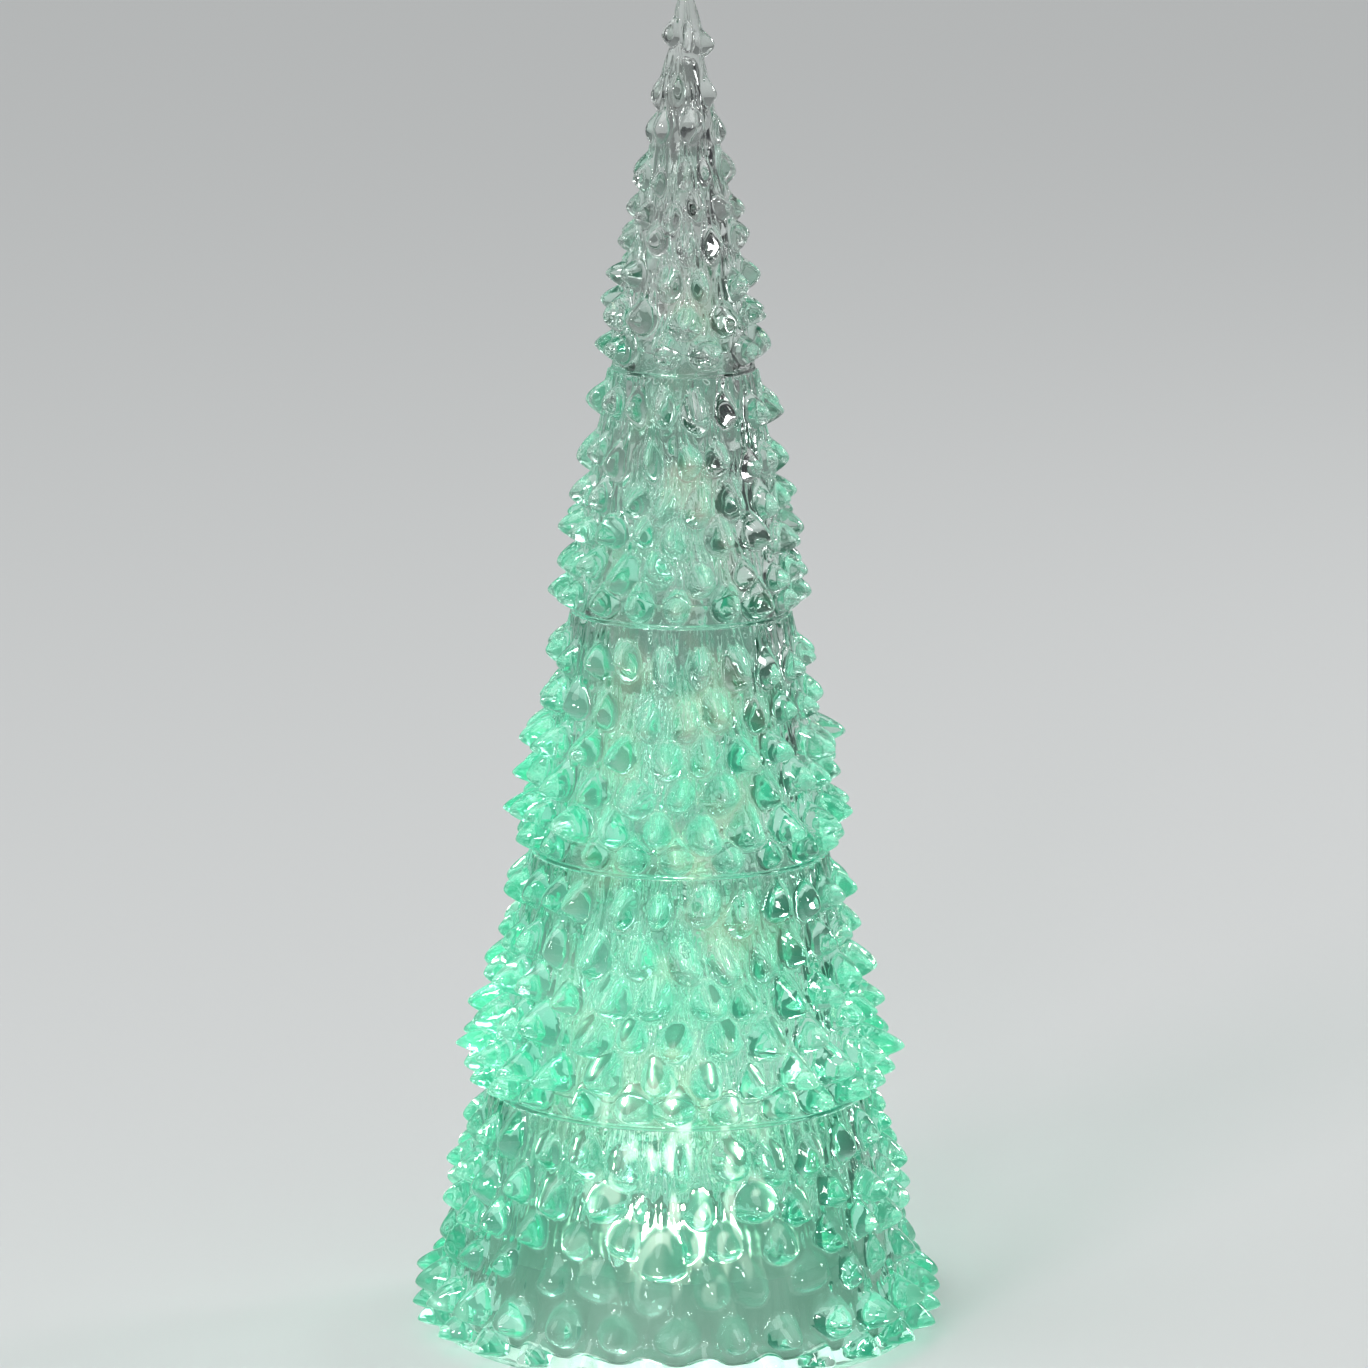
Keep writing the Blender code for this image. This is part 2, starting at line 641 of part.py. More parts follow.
def make_lamp_housing(tier, collection, cutters, material):
    """The milky cup over the works: a wall, a deck with lamp holes, screw bosses and board posts."""
    outer_foot = tier.bore(PLATE_SEAT) * tier.flat_share - FIT_GAP
    outer_top = tier.bore(DECK_TOP) * tier.flat_share - FIT_GAP
    inner_foot = outer_foot - HOUSING_WALL
    inner_top = tier.bore(DECK_BOTTOM) * tier.flat_share - FIT_GAP - HOUSING_WALL
    outline = [
        (0, DECK_TOP),
        (outer_top, DECK_TOP),
        (outer_foot, PLATE_SEAT),
        (inner_foot, PLATE_SEAT),
        (inner_top, DECK_BOTTOM),
        (0, DECK_BOTTOM),
    ]
    housing = turned("lamp_housing", outline, PLATE_STEPS, collection, material)
    pilot_top = SCREW_HEAD_TOP + SCREW_SHANK_LENGTH + SCREW_TIP_GAP
    for number, angle in enumerate(THREE_ANGLES, 1):
        place = on_circle(SCREW_CIRCLE_RADIUS, angle)
        join(housing, rod(
            f"boss_{number}", BOSS_RADIUS, PLATE_SEAT, DECK_BOTTOM + JOIN_OVERLAP,
            SMALL_STEPS, cutters, at=place,
        ))
        cut(housing, rod(
            f"pilot_{number}", SCREW_SHANK_RADIUS + FIT_GAP, PLATE_SEAT - CUT_OVERRUN, pilot_top,
            SMALL_STEPS, cutters, at=place,
        ))
        cut(housing, rod(
            f"lamp_hole_{number}", LED_RADIUS + FIT_GAP, DECK_BOTTOM - CUT_OVERRUN, DECK_TOP + CUT_OVERRUN,
            SMALL_STEPS, cutters, at=on_circle(LED_CIRCLE_RADIUS, angle),
        ))
    for side in (-1, 1):
        place = (side * BOARD_SCREW_SPREAD, 0)
        join(housing, rod(
            f"board_post_{side + 2}", BOARD_POST_RADIUS, BOARD_PARTS_SEAT, DECK_BOTTOM + JOIN_OVERLAP,
            SMALL_STEPS, cutters, at=place,
        ))
        cut(housing, rod(
            f"post_pilot_{side + 2}", BOARD_SCREW_SHANK_RADIUS + FIT_GAP, BOARD_PARTS_SEAT - CUT_OVERRUN,
            BOARD_PARTS_SEAT + BOARD_SCREW_BITE + FIT_GAP, SMALL_STEPS, cutters, at=place,
        ))
    return housing


def screw_outline(head_radius, head_bottom, head_top, shank_radius, shank_top):
    return [
        (0, shank_top),
        (shank_radius, shank_top),
        (shank_radius, head_top),
        (head_radius, head_top),
        (head_radius, head_bottom),
        (0, head_bottom),
    ]


def make_base_screws(collection, cutters, material):
    """Three screws from below, heads sunk in the plate, each with a cross slot."""
    outline = screw_outline(
        SCREW_HEAD_RADIUS, SCREW_HEAD_BOTTOM, SCREW_HEAD_TOP,
        SCREW_SHANK_RADIUS, SCREW_HEAD_TOP + SCREW_SHANK_LENGTH,
    )
    half_length, half_width = SCREW_SLOT_LENGTH / 2, SCREW_SLOT_WIDTH / 2
    for number, angle in enumerate(THREE_ANGLES, 1):
        x, y = on_circle(SCREW_CIRCLE_RADIUS, angle)
        screw = turned(f"base_screw_{number}", outline, SMALL_STEPS, collection, material, at=(x, y, 0))
        for way, (reach_x, reach_y) in enumerate([(half_length, half_width), (half_width, half_length)], 1):
            cut(screw, block(
                f"cross_slot_{number}_{way}",
                (x - reach_x, y - reach_y, SCREW_HEAD_BOTTOM - CUT_OVERRUN),
                (x + reach_x, y + reach_y, SCREW_HEAD_BOTTOM + SCREW_SLOT_DEPTH),
                cutters,
            ))


# The works


def make_board(collection, cutters, material):
    board = rod(
        "circuit_board", BOARD_RADIUS, BOARD_BOTTOM, BOARD_TOP, BOARD_STEPS, collection, material,
    )
    for side in (-1, 1):
        cut(board, rod(
            f"board_hole_{side + 2}", BOARD_SCREW_SHANK_RADIUS + FIT_GAP, BOARD_BOTTOM - CUT_OVERRUN,
            BOARD_TOP + CUT_OVERRUN, SMALL_STEPS, cutters, at=(side * BOARD_SCREW_SPREAD, 0),
        ))
    return board


def make_board_screws(collection, material):
    head_top = BOARD_BOTTOM - FIT_GAP
    outline = screw_outline(
        BOARD_SCREW_HEAD_RADIUS, head_top - BOARD_SCREW_HEAD_HEIGHT, head_top,
        BOARD_SCREW_SHANK_RADIUS, BOARD_PARTS_SEAT + BOARD_SCREW_BITE,
    )
    for number, side in enumerate((-1, 1), 1):
        place = (side * BOARD_SCREW_SPREAD, 0, 0)
        turned(f"board_screw_{number}", outline, SMALL_STEPS, collection, material, at=place)


def make_leds(collection, material):
    """Three 5 mm lamps that stand on the board and look out through the deck."""
    dome_foot = BOARD_PARTS_SEAT + LED_LENGTH - LED_RADIUS
    flange_top = BOARD_PARTS_SEAT + LED_FLANGE_HEIGHT
    dome_steps = 4
    turns = [QUARTER_TURN * k / dome_steps for k in range(dome_steps + 1)]
    outline = [
        (LED_RADIUS * math.sin(turn), dome_foot + LED_RADIUS * math.cos(turn))
        for turn in turns
    ]
    outline += [
        (LED_RADIUS, flange_top),
        (LED_FLANGE_RADIUS, flange_top),
        (LED_FLANGE_RADIUS, BOARD_PARTS_SEAT),
        (0, BOARD_PARTS_SEAT),
    ]
    for number, angle in enumerate(THREE_ANGLES, 1):
        place = (*on_circle(LED_CIRCLE_RADIUS, angle), 0)
        turned(f"led_{number}", outline, SMALL_STEPS, collection, material, at=place)


def make_board_parts(collection, chip_material, resistor_material):
    """The control chip, and a resistor beside each lamp."""
    block(
        "controller_chip",
        (-CHIP_LENGTH / 2, CHIP_CENTRE_Y - CHIP_WIDTH / 2, BOARD_PARTS_SEAT),
        (CHIP_LENGTH / 2, CHIP_CENTRE_Y + CHIP_WIDTH / 2, BOARD_PARTS_SEAT + CHIP_HEIGHT),
        collection, chip_material,
    )
    for number, angle in enumerate(THREE_ANGLES, 1):
        resistor = block(
            f"resistor_{number}",
            (-RESISTOR_WIDTH / 2, -RESISTOR_LENGTH / 2, BOARD_PARTS_SEAT),
            (RESISTOR_WIDTH / 2, RESISTOR_LENGTH / 2, BOARD_PARTS_SEAT + RESISTOR_HEIGHT),
            collection, resistor_material,
        )
        resistor.location += Vector((*on_circle(RESISTOR_CIRCLE_RADIUS, angle), 0))
        resistor.rotation_euler.z = angle


def make_switch(collection, cutters, body_material, knob_material, metal):
    """The slide switch on the plate, its knob at ON, and its three lugs."""
    body = block(
        "switch_body",
        (-SWITCH_LENGTH / 2, SWITCH_CENTRE_Y - SWITCH_WIDTH / 2, PLATE_SEAT),
        (SWITCH_LENGTH / 2, SWITCH_CENTRE_Y + SWITCH_WIDTH / 2, SWITCH_TOP),
        collection, body_material,
    )
    pocket_x = (SWITCH_TRAVEL + KNOB_FLANGE_LENGTH) / 2 + FIT_GAP
    pocket_y = KNOB_FLANGE_WIDTH / 2 + FIT_GAP
    cut(body, block(
        "knob_pocket",
        (-pocket_x, SWITCH_CENTRE_Y - pocket_y, PLATE_SEAT - CUT_OVERRUN),
        (pocket_x, SWITCH_CENTRE_Y + pocket_y, KNOB_FLANGE_TOP + FIT_GAP),
        cutters,
    ))
    knob_x = -SWITCH_TRAVEL / 2
    knob = block(
        "switch_knob",
        (knob_x - KNOB_LENGTH / 2, SWITCH_CENTRE_Y - KNOB_WIDTH / 2, PLATE_BOTTOM - KNOB_PROUD),
        (knob_x + KNOB_LENGTH / 2, SWITCH_CENTRE_Y + KNOB_WIDTH / 2, PLATE_SEAT + JOIN_OVERLAP),
        collection, knob_material,
    )
    join(knob, block(
        "knob_flange",
        (knob_x - KNOB_FLANGE_LENGTH / 2, SWITCH_CENTRE_Y - KNOB_FLANGE_WIDTH / 2, PLATE_SEAT),
        (knob_x + KNOB_FLANGE_LENGTH / 2, SWITCH_CENTRE_Y + KNOB_FLANGE_WIDTH / 2, KNOB_FLANGE_TOP),
        cutters,
    ))
    lug_bottom = SWITCH_TOP + FIT_GAP
    for number, x in enumerate((-LUG_PITCH, 0, LUG_PITCH), 1):
        block(
            f"switch_lug_{number}",
            (x - LUG_LENGTH / 2, SWITCH_CENTRE_Y - LUG_THICKNESS / 2, lug_bottom),
            (x + LUG_LENGTH / 2, SWITCH_CENTRE_Y + LUG_THICKNESS / 2, lug_bottom + LUG_HEIGHT),
            collection, metal,
        )


def cell_rows():
    """(y, way) of each cell: way is +1 where the plus end faces +X. The cells lie head to tail."""
    return [(BAY_CENTRE_Y + (k - 1) * CELL_PITCH, 1 if k % 2 == 0 else -1) for k in range(3)]


def make_cells(collection, material):
    """Three AAA cells, turned upright with the plus nub up, then laid down along X."""
    tip = CELL_LENGTH / 2
    can_top, can_bottom = tip - CELL_NUB_LENGTH, -tip
    outline = [
        (0, tip),
        (CELL_NUB_RADIUS, tip),
        (CELL_NUB_RADIUS, can_top),
        (CELL_RADIUS - CELL_EDGE, can_top),
        (CELL_RADIUS, can_top - CELL_EDGE),
        (CELL_RADIUS, can_bottom + CELL_EDGE),
        (CELL_RADIUS - CELL_EDGE, can_bottom),
        (0, can_bottom),
    ]
    middle = CONTACT_FACE_X - FIT_GAP - CELL_LENGTH / 2
    for number, (y, way) in enumerate(cell_rows(), 1):
        cell = turned(f"battery_{number}", outline, CELL_STEPS, collection, material)
        cell.location = (way * middle, y, CELL_AXIS)
        cell.rotation_euler.y = way * QUARTER_TURN


def tube(name, points, radius, resolution, collection, material):
    """A round wire along points, its caps welded on."""
    curve = bpy.data.curves.new(name, "CURVE")
    curve.dimensions = "3D"
    curve.bevel_depth = radius
    curve.bevel_resolution = resolution
    curve.use_fill_caps = True
    spline = curve.splines.new("POLY")
    spline.points.add(len(points) - 1)
    for point, place in zip(spline.points, points):
        point.co = (*place, 1)
    guide = bpy.data.objects.new(name + "_path", curve)
    collection.objects.link(guide)
    graph = bpy.context.evaluated_depsgraph_get()
    mesh = bpy.data.meshes.new_from_object(guide.evaluated_get(graph))
    bpy.data.objects.remove(guide)
    shape = bmesh.new()
    shape.from_mesh(mesh)
    bmesh.ops.remove_doubles(shape, verts=shape.verts, dist=MERGE_DISTANCE)
    bmesh.ops.recalc_face_normals(shape, faces=shape.faces)
    shape.to_mesh(mesh)
    shape.free()
    mesh.shade_smooth()
    mesh.name = name
    return placed(name, mesh, collection, material)


def least_gap(points, radius, skipped):
    """The least free space between a wire's turns, from points at least skipped places apart."""
    nearest = min(
        (first - second).length
        for i, first in enumerate(points)
        for second in points[i + skipped:]
    )
    return nearest - 2 * radius


def make_springs(collection, material):
    """A conical spring behind the minus end of each cell, wide on its plate and narrow at the cell."""
    start = CONTACT_FACE_X - FIT_GAP - SPRING_WIRE_RADIUS
    rise = SPRING_LENGTH - 2 * SPRING_WIRE_RADIUS
    count = round(SPRING_TURNS * SPRING_POINTS_PER_TURN)
    for number, (y, way) in enumerate(cell_rows(), 1):
        points = []
        for k in range(count + 1):
            share = k / count
            radius = SPRING_WIDE_RADIUS + (SPRING_NARROW_RADIUS - SPRING_WIDE_RADIUS) * share
            across, up = on_circle(radius, 2 * math.pi * SPRING_TURNS * share)
            points.append(Vector((-way * (start - rise * share), y + across, CELL_AXIS + up)))
        tube(f"battery_spring_{number}", points, SPRING_WIRE_RADIUS, 1, collection, material)
    gap = least_gap(points, SPRING_WIRE_RADIUS, SPRING_POINTS_PER_TURN // 2 + 1)
    print(f"least gap between the turns of a battery spring: {gap * 1000:.2f} mm")


def make_contacts(collection, material):
    """Contact plates at both ends of the bay. Two of them bridge neighbouring cells."""
    rows = [y for y, _ in cell_rows()]
    spans = [(1, rows[0], rows[0]), (1, rows[1], rows[2]), (-1, rows[0], rows[1]), (-1, rows[2], rows[2])]
    for number, (side, first, last) in enumerate(spans, 1):
        ends = sorted((side * CONTACT_FACE_X, side * (CONTACT_FACE_X + CONTACT_THICKNESS)))
        block(
            f"contact_plate_{number}",
            (ends[0], first - CONTACT_WIDTH / 2, CELL_AXIS - CONTACT_HEIGHT / 2),
            (ends[1], last + CONTACT_WIDTH / 2, CELL_AXIS + CONTACT_HEIGHT / 2),
            collection, material,
        )


# The wires


def wire_exits():
    """(x, y) where the plus and the minus wire leave the bay, over the single contact plates."""
    beside_wall = BAY_HALF_X - FIT_GAP - WIRE_RADIUS
    rows = [y for y, _ in cell_rows()]
    return [(beside_wall, rows[0]), (-beside_wall, rows[2])]


def smooth_route(stops):
    """Evenly spaced points on a smooth curve through the stops."""
    stops = [Vector(stop) for stop in stops]
    padded = [2 * stops[0] - stops[1], *stops, 2 * stops[-1] - stops[-2]]
    points = [stops[0]]
    for before, start, end, after in zip(padded, padded[1:], padded[2:], padded[3:]):
        steps = max(1, round((end - start).length / WIRE_POINT_SPACING))
        for k in range(1, steps + 1):
            t = k / steps
            points.append(
                (2 * start + (end - before) * t
                 + (2 * before - 5 * start + 4 * end - after) * t ** 2
                 + (3 * start - before - 3 * end + after) * t ** 3) / 2
            )
    return points


def make_wires(collection, plus, minus, link):
    """Plus contact to board, minus contact round the board to the switch, and switch to board."""
    contact_top = CELL_AXIS + CONTACT_HEIGHT / 2 + FIT_GAP
    lug_top = SWITCH_TOP + FIT_GAP + LUG_HEIGHT + FIT_GAP
    board_edge = BOARD_RADIUS + FIT_GAP
    corner = WIRE_LEVEL - WIRE_BEND / 3
    (plus_x, plus_y), (minus_x, minus_y) = wire_exits()

    angle = math.atan2(plus_y, plus_x)
    inward = math.hypot(plus_x, plus_y) - WIRE_BEND
    stops = [
        (plus_x, plus_y, contact_top),
        (plus_x, plus_y, BAY_TOP),
        (plus_x, plus_y, BAY_TOP + WIRE_RADIUS),
        (*on_circle(inward, angle), WIRE_LEVEL),
        (*on_circle(board_edge, angle), WIRE_LEVEL),
    ]
    tube("wire_1", smooth_route(stops), WIRE_RADIUS, 2, collection, plus)

    lug_x, lug_y = -LUG_PITCH, SWITCH_CENTRE_Y
    start, end = math.atan2(minus_y, minus_x), math.atan2(lug_y, lug_x) + 2 * math.pi
    near, far = math.hypot(minus_x, minus_y), math.hypot(lug_x, lug_y)
    stops = [
        (minus_x, minus_y, contact_top),
        (minus_x, minus_y, BAY_TOP),
        (minus_x, minus_y, BAY_TOP + WIRE_RADIUS),
    ]
    bends = 6
    for k in range(1, bends):
        share = k / bends
        stops.append((*on_circle(near + (far - near) * share, start + (end - start) * share), WIRE_LEVEL))
    stops += [(lug_x, lug_y, lug_top + WIRE_BEND), (lug_x, lug_y, lug_top)]
    tube("wire_2", smooth_route(stops), WIRE_RADIUS, 2, collection, minus)

    stops = [
        (0, SWITCH_CENTRE_Y, lug_top),
        (0, SWITCH_CENTRE_Y, lug_top + WIRE_BEND),
        (0, SWITCH_CENTRE_Y + WIRE_BEND, corner),
        (0, SWITCH_CENTRE_Y + 2 * WIRE_BEND, WIRE_LEVEL),
        (0, -board_edge, WIRE_LEVEL),
    ]
    tube("wire_3", smooth_route(stops), WIRE_RADIUS, 2, collection, link)


def main():
    clear_scene()
    parts = new_collection("Led christmas tree")
    cutters = new_collection("Cutters")

    clear = finish("clear_plastic", (0.42, 0.8, 0.66), 0.08, transmission=0.8, glow=0.15)
    milky = finish("milky_plastic", (0.78, 0.87, 0.82), 0.45, glow=0.2)
    white = finish("white_plastic", (0.82, 0.83, 0.81), 0.45)
    black = finish("black_plastic", (0.03, 0.03, 0.03), 0.4)
    rubber = finish("foot_rubber", (0.55, 0.56, 0.55), 0.8)
    steel = finish("screw_steel", (0.62, 0.62, 0.6), 0.3, metallic=1.0)
    nickel = finish("contact_nickel", (0.7, 0.68, 0.62), 0.25, metallic=1.0)
    fibreglass = finish("board_fibreglass", (0.05, 0.22, 0.1), 0.4)
    lens = finish("led_lens", (0.35, 1.0, 0.72), 0.1, glow=3.0)
    ceramic = finish("resistor_ceramic", (0.06, 0.06, 0.07), 0.35)
    cell_wrap = finish("cell_wrap", (0.06, 0.16, 0.1), 0.35)
    red = finish("wire_red", (0.55, 0.03, 0.03), 0.45)
    dark = finish("wire_black", (0.02, 0.02, 0.02), 0.45)
    yellow = finish("wire_yellow", (0.65, 0.5, 0.05), 0.45)

    stack = tiers()
    for tier in stack:
        make_tier(tier, parts, clear)
    make_feet(parts, rubber)
    make_base_plate(stack[0], parts, cutters, white)
    make_battery_door(parts, cutters, white)
    make_lamp_housing(stack[0], parts, cutters, milky)
    make_base_screws(parts, cutters, steel)
    make_board(parts, cutters, fibreglass)
    make_board_screws(parts, steel)
    make_leds(parts, lens)
    make_board_parts(parts, black, ceramic)
    make_switch(parts, cutters, black, white, nickel)
    make_cells(parts, cell_wrap)
    make_springs(parts, nickel)
    make_contacts(parts, nickel)
    make_wires(parts, red, dark, yellow)


main()
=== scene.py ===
# %% [markdown]
# # A battery-lit christmas tree of clear plastic
# The tree is five clear moulded cones that stand on each other's necks. Each is covered with fluted leaves
# that end in a rounded thumb. A milky cup under the lowest one holds the lamps, a small board, a slide
# switch and three battery cells behind a hinged door.
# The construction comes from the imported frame. This lesson adds the fine surfaces and the finishes, and
# moves nothing: every piece is made where the frame says and rides on one of its bodies.

# %% Load the frame
import json
import math

import bmesh
import bpy
from mathutils import Matrix, Quaternion, Vector


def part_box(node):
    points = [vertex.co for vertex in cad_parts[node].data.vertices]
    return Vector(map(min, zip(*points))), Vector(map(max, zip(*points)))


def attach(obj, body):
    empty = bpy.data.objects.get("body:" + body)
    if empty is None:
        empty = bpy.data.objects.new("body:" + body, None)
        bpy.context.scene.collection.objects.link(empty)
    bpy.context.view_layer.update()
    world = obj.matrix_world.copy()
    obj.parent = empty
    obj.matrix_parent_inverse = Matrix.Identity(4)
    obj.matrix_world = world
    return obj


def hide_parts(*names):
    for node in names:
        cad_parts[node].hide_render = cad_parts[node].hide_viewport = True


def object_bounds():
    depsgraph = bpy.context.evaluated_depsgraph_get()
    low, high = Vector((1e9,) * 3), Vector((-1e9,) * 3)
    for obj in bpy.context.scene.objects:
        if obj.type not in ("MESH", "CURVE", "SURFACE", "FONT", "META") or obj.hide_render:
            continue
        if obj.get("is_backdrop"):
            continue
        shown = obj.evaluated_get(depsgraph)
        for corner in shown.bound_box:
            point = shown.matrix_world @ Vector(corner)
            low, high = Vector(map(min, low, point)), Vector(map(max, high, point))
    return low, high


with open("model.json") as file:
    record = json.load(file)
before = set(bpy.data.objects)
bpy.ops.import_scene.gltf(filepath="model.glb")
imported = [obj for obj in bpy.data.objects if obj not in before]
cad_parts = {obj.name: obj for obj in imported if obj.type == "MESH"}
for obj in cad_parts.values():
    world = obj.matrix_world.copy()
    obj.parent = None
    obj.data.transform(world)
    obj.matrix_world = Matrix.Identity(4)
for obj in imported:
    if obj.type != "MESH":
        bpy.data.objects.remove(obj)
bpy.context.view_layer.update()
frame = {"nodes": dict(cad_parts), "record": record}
MM = 0.001

# %% [markdown]
# ## Camera
# The photograph looks slightly down on the tree from the height of a person who sits at the table.
# The tip and the front of the skirt are just cut off by the picture's edges, and the tree leans a little to
# the right, which is the camera's own tilt. A long lens keeps the cones' sides nearly straight.

# %% Camera
CAMERA_TARGET = Vector((0.0007, 0.0, 0.155))
CAMERA_ELEVATION = math.radians(11)
CAMERA_DISTANCE = 1.545
CAMERA_ROLL = math.radians(0.4)
LENS = 173.6
SENSOR = 36


def aimed(obj, place, target):
    """Puts a lamp or a camera at a place and turns it to a target."""
    obj.location = place
    obj.rotation_mode = "QUATERNION"
    obj.rotation_quaternion = (Vector(target) - Vector(place)).to_track_quat("-Z", "Y")
    bpy.context.scene.collection.objects.link(obj)
    return obj


camera = bpy.data.objects.new("camera", bpy.data.cameras.new("camera"))
camera.data.lens = LENS
camera.data.sensor_width = SENSOR
back = Vector((0, -math.cos(CAMERA_ELEVATION), math.sin(CAMERA_ELEVATION)))
aimed(camera, CAMERA_TARGET + back * CAMERA_DISTANCE, CAMERA_TARGET)
camera.rotation_quaternion @= Quaternion((0, 0, 1), CAMERA_ROLL)
bpy.context.scene.camera = camera
print("camera at", [round(value, 3) for value in camera.location])

# %% [markdown]
# ## Sums as nodes
# A material or a shape that follows a rule is a sum of many small terms. Written node by node such a sum is
# hard to read, so one small class wraps an output and lets Python's operators add the Math nodes. It serves
# shaders and Geometry Nodes alike, because both use the same Math node.

# %% Ports and trees
class Port:
    """One output of a node, which can stand in a Python sum."""

    def __init__(self, socket):
        self.socket = socket

    def out(self, name):
        """Another output of the same node."""
        return Port(self.socket.node.outputs[name])

    def __add__(self, other):
        return maths("ADD", self, other)

    def __radd__(self, other):
        return maths("ADD", other, self)

    def __sub__(self, other):
        return maths("SUBTRACT", self, other)

    def __rsub__(self, other):
        return maths("SUBTRACT", other, self)

    def __mul__(self, other):
        return maths("MULTIPLY", self, other)

    def __rmul__(self, other):
        return maths("MULTIPLY", other, self)

    def __truediv__(self, other):
        return maths("DIVIDE", self, other)

    def __pow__(self, other):
        return maths("POWER", self, other)

    def __neg__(self):
        return maths("MULTIPLY", self, -1)


class Nodes:
    """A node tree, filled by one method."""

    def __init__(self, tree):
        self.tree = tree

    def add(self, kind, settings=None, inputs=None, output=0):
        """A node of a kind: its settings first, then the values or links of its sockets."""
        node = self.tree.nodes.new(kind)
        for name, value in (settings or {}).items():
            setattr(node, name, value)
        for name, value in (inputs or {}).items():
            if isinstance(value, Port):
                self.tree.links.new(value.socket, node.inputs[name])
            else:
                node.inputs[name].default_value = value
        return Port(node.outputs[output]) if node.outputs else None


def maths(operation, *terms):
    """A Math node with ports or numbers as its terms."""
    nodes = Nodes(next(term for term in terms if isinstance(term, Port)).socket.id_data)
    return nodes.add("ShaderNodeMath", {"operation": operation}, dict(enumerate(terms)))


def clamped(value):
    """The value, held between 0 and 1."""
    return maths("MINIMUM", maths("MAXIMUM", value, 0), 1)


def eased(value):
    """A share from 0 to 1 with soft ends."""
    share = clamped(value)
    return share * share * (3 - 2 * share)


def split(vector):
    """The three parts of a vector."""
    nodes = Nodes(vector.socket.id_data)
    parts = nodes.add("ShaderNodeSeparateXYZ", None, {0: vector})
    return parts, parts.out(1), parts.out(2)


print("ports and trees are ready")

# %% [markdown]
# ## Colours
# Colours are written as they look in a picture and turned into the linear values that a shader takes.
# A mix of two colours goes through a Mix node, because a Math node would turn them grey.

# %% Colour helpers
BLACK = (0.0, 0.0, 0.0, 1)


def colour(red, green, blue):
    """A shader colour from picture values between 0 and 255."""
    shares = [value / 255 for value in (red, green, blue)]
    linear = [
        share / 12.92 if share <= 0.04045 else ((share + 0.055) / 1.055) ** 2.4
        for share in shares
    ]
    return (*linear, 1)


def blend(nodes, first, second, share):
    """Between two colours, by a share."""
    return nodes.add("ShaderNodeMix", {"data_type": "RGBA"}, {0: share, 6: first, 7: second}, output=2)


def object_place(nodes):
    """The place on the piece in metres, which moves with the piece."""
    return nodes.add("ShaderNodeTexCoord", output="Object")


def noise(nodes, place, grain, detail=1.0):
    """A soft random pattern from 0 to 1 with spots of a size in metres."""
    return nodes.add("ShaderNodeTexNoise", None, {"Vector": place, "Scale": 1 / grain, "Detail": detail})


def bumped(nodes, height, depth, strength=0.5, under=None):
    """A normal that follows a pattern of a depth in metres, laid over another normal if one is given."""
    inputs = {"Strength": strength, "Distance": depth, "Height": height}
    if under:
        inputs["Normal"] = under
    return nodes.add("ShaderNodeBump", None, inputs)


def stored(nodes, name):
    """A value that a tree of Geometry Nodes has stored on the piece's points."""
    return nodes.add("ShaderNodeAttribute", {"attribute_name": name}, output="Fac")


def new_material(name, fill):
    """A material whose surface is the shader that fill makes."""
    material = bpy.data.materials.new(name)
    material.use_nodes = True
    material.node_tree.nodes.clear()
    nodes = Nodes(material.node_tree)
    nodes.add("ShaderNodeOutputMaterial", None, {"Surface": fill(nodes)})
    return material


print("white in a picture as a linear value:", round(colour(255, 255, 255)[0], 3))

# %% [markdown]
# ## Floor and light
# The tree stands on a plain pale floor. A lens that looks slightly down sees nothing but this floor behind
# the tree. Seen from below it is clear, so that the underside can be looked at.
# Clear plastic has no colour of its own to show: it shows what is around it. In the photograph its upper
# part is a soft grey with dark accents at the right, so the room is a soft grey that darkens at the right. A
# wide soft sun makes the floor pale, and small softboxes give each leaf its glint. One of them stands below
# and lights the underside, because lamp rays pass the floor.

# %% Floor
FLOOR_SIZE = 14.0
FLOOR_COLOUR = (0.62, 0.63, 0.63, 1)


def floor_surface(nodes):
    """Pale from above, clear from below and for the rays of the lamps."""
    pale = nodes.add("ShaderNodeBsdfDiffuse", None, {"Color": FLOOR_COLOUR})
    nothing = nodes.add("ShaderNodeBsdfTransparent")
    underneath = nodes.add("ShaderNodeNewGeometry", output="Backfacing")
    lamp_ray = nodes.add("ShaderNodeLightPath", output="Is Shadow Ray")
    clear = maths("MAXIMUM", underneath, lamp_ray)
    return nodes.add("ShaderNodeMixShader", None, {0: clear, 1: pale, 2: nothing})


def shown(name, data):
    """A new object of the scene."""
    obj = bpy.data.objects.new(name, data)
    bpy.context.scene.collection.objects.link(obj)
    return obj


def new_object(name, points, edges=(), faces=()):
    """A new object of the scene with a mesh of given points, edges and faces."""
    mesh = bpy.data.meshes.new(name)
    mesh.from_pydata(points, edges, faces)
    return shown(name, mesh)


half = FLOOR_SIZE / 2
corners = [(-half, -half, 0), (half, -half, 0), (half, half, 0), (-half, half, 0)]
floor = new_object("floor", corners, (), [(0, 1, 2, 3)])
floor.data.materials.append(new_material("pale floor", floor_surface))
floor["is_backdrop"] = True
print("floor:", FLOOR_SIZE, "m wide")

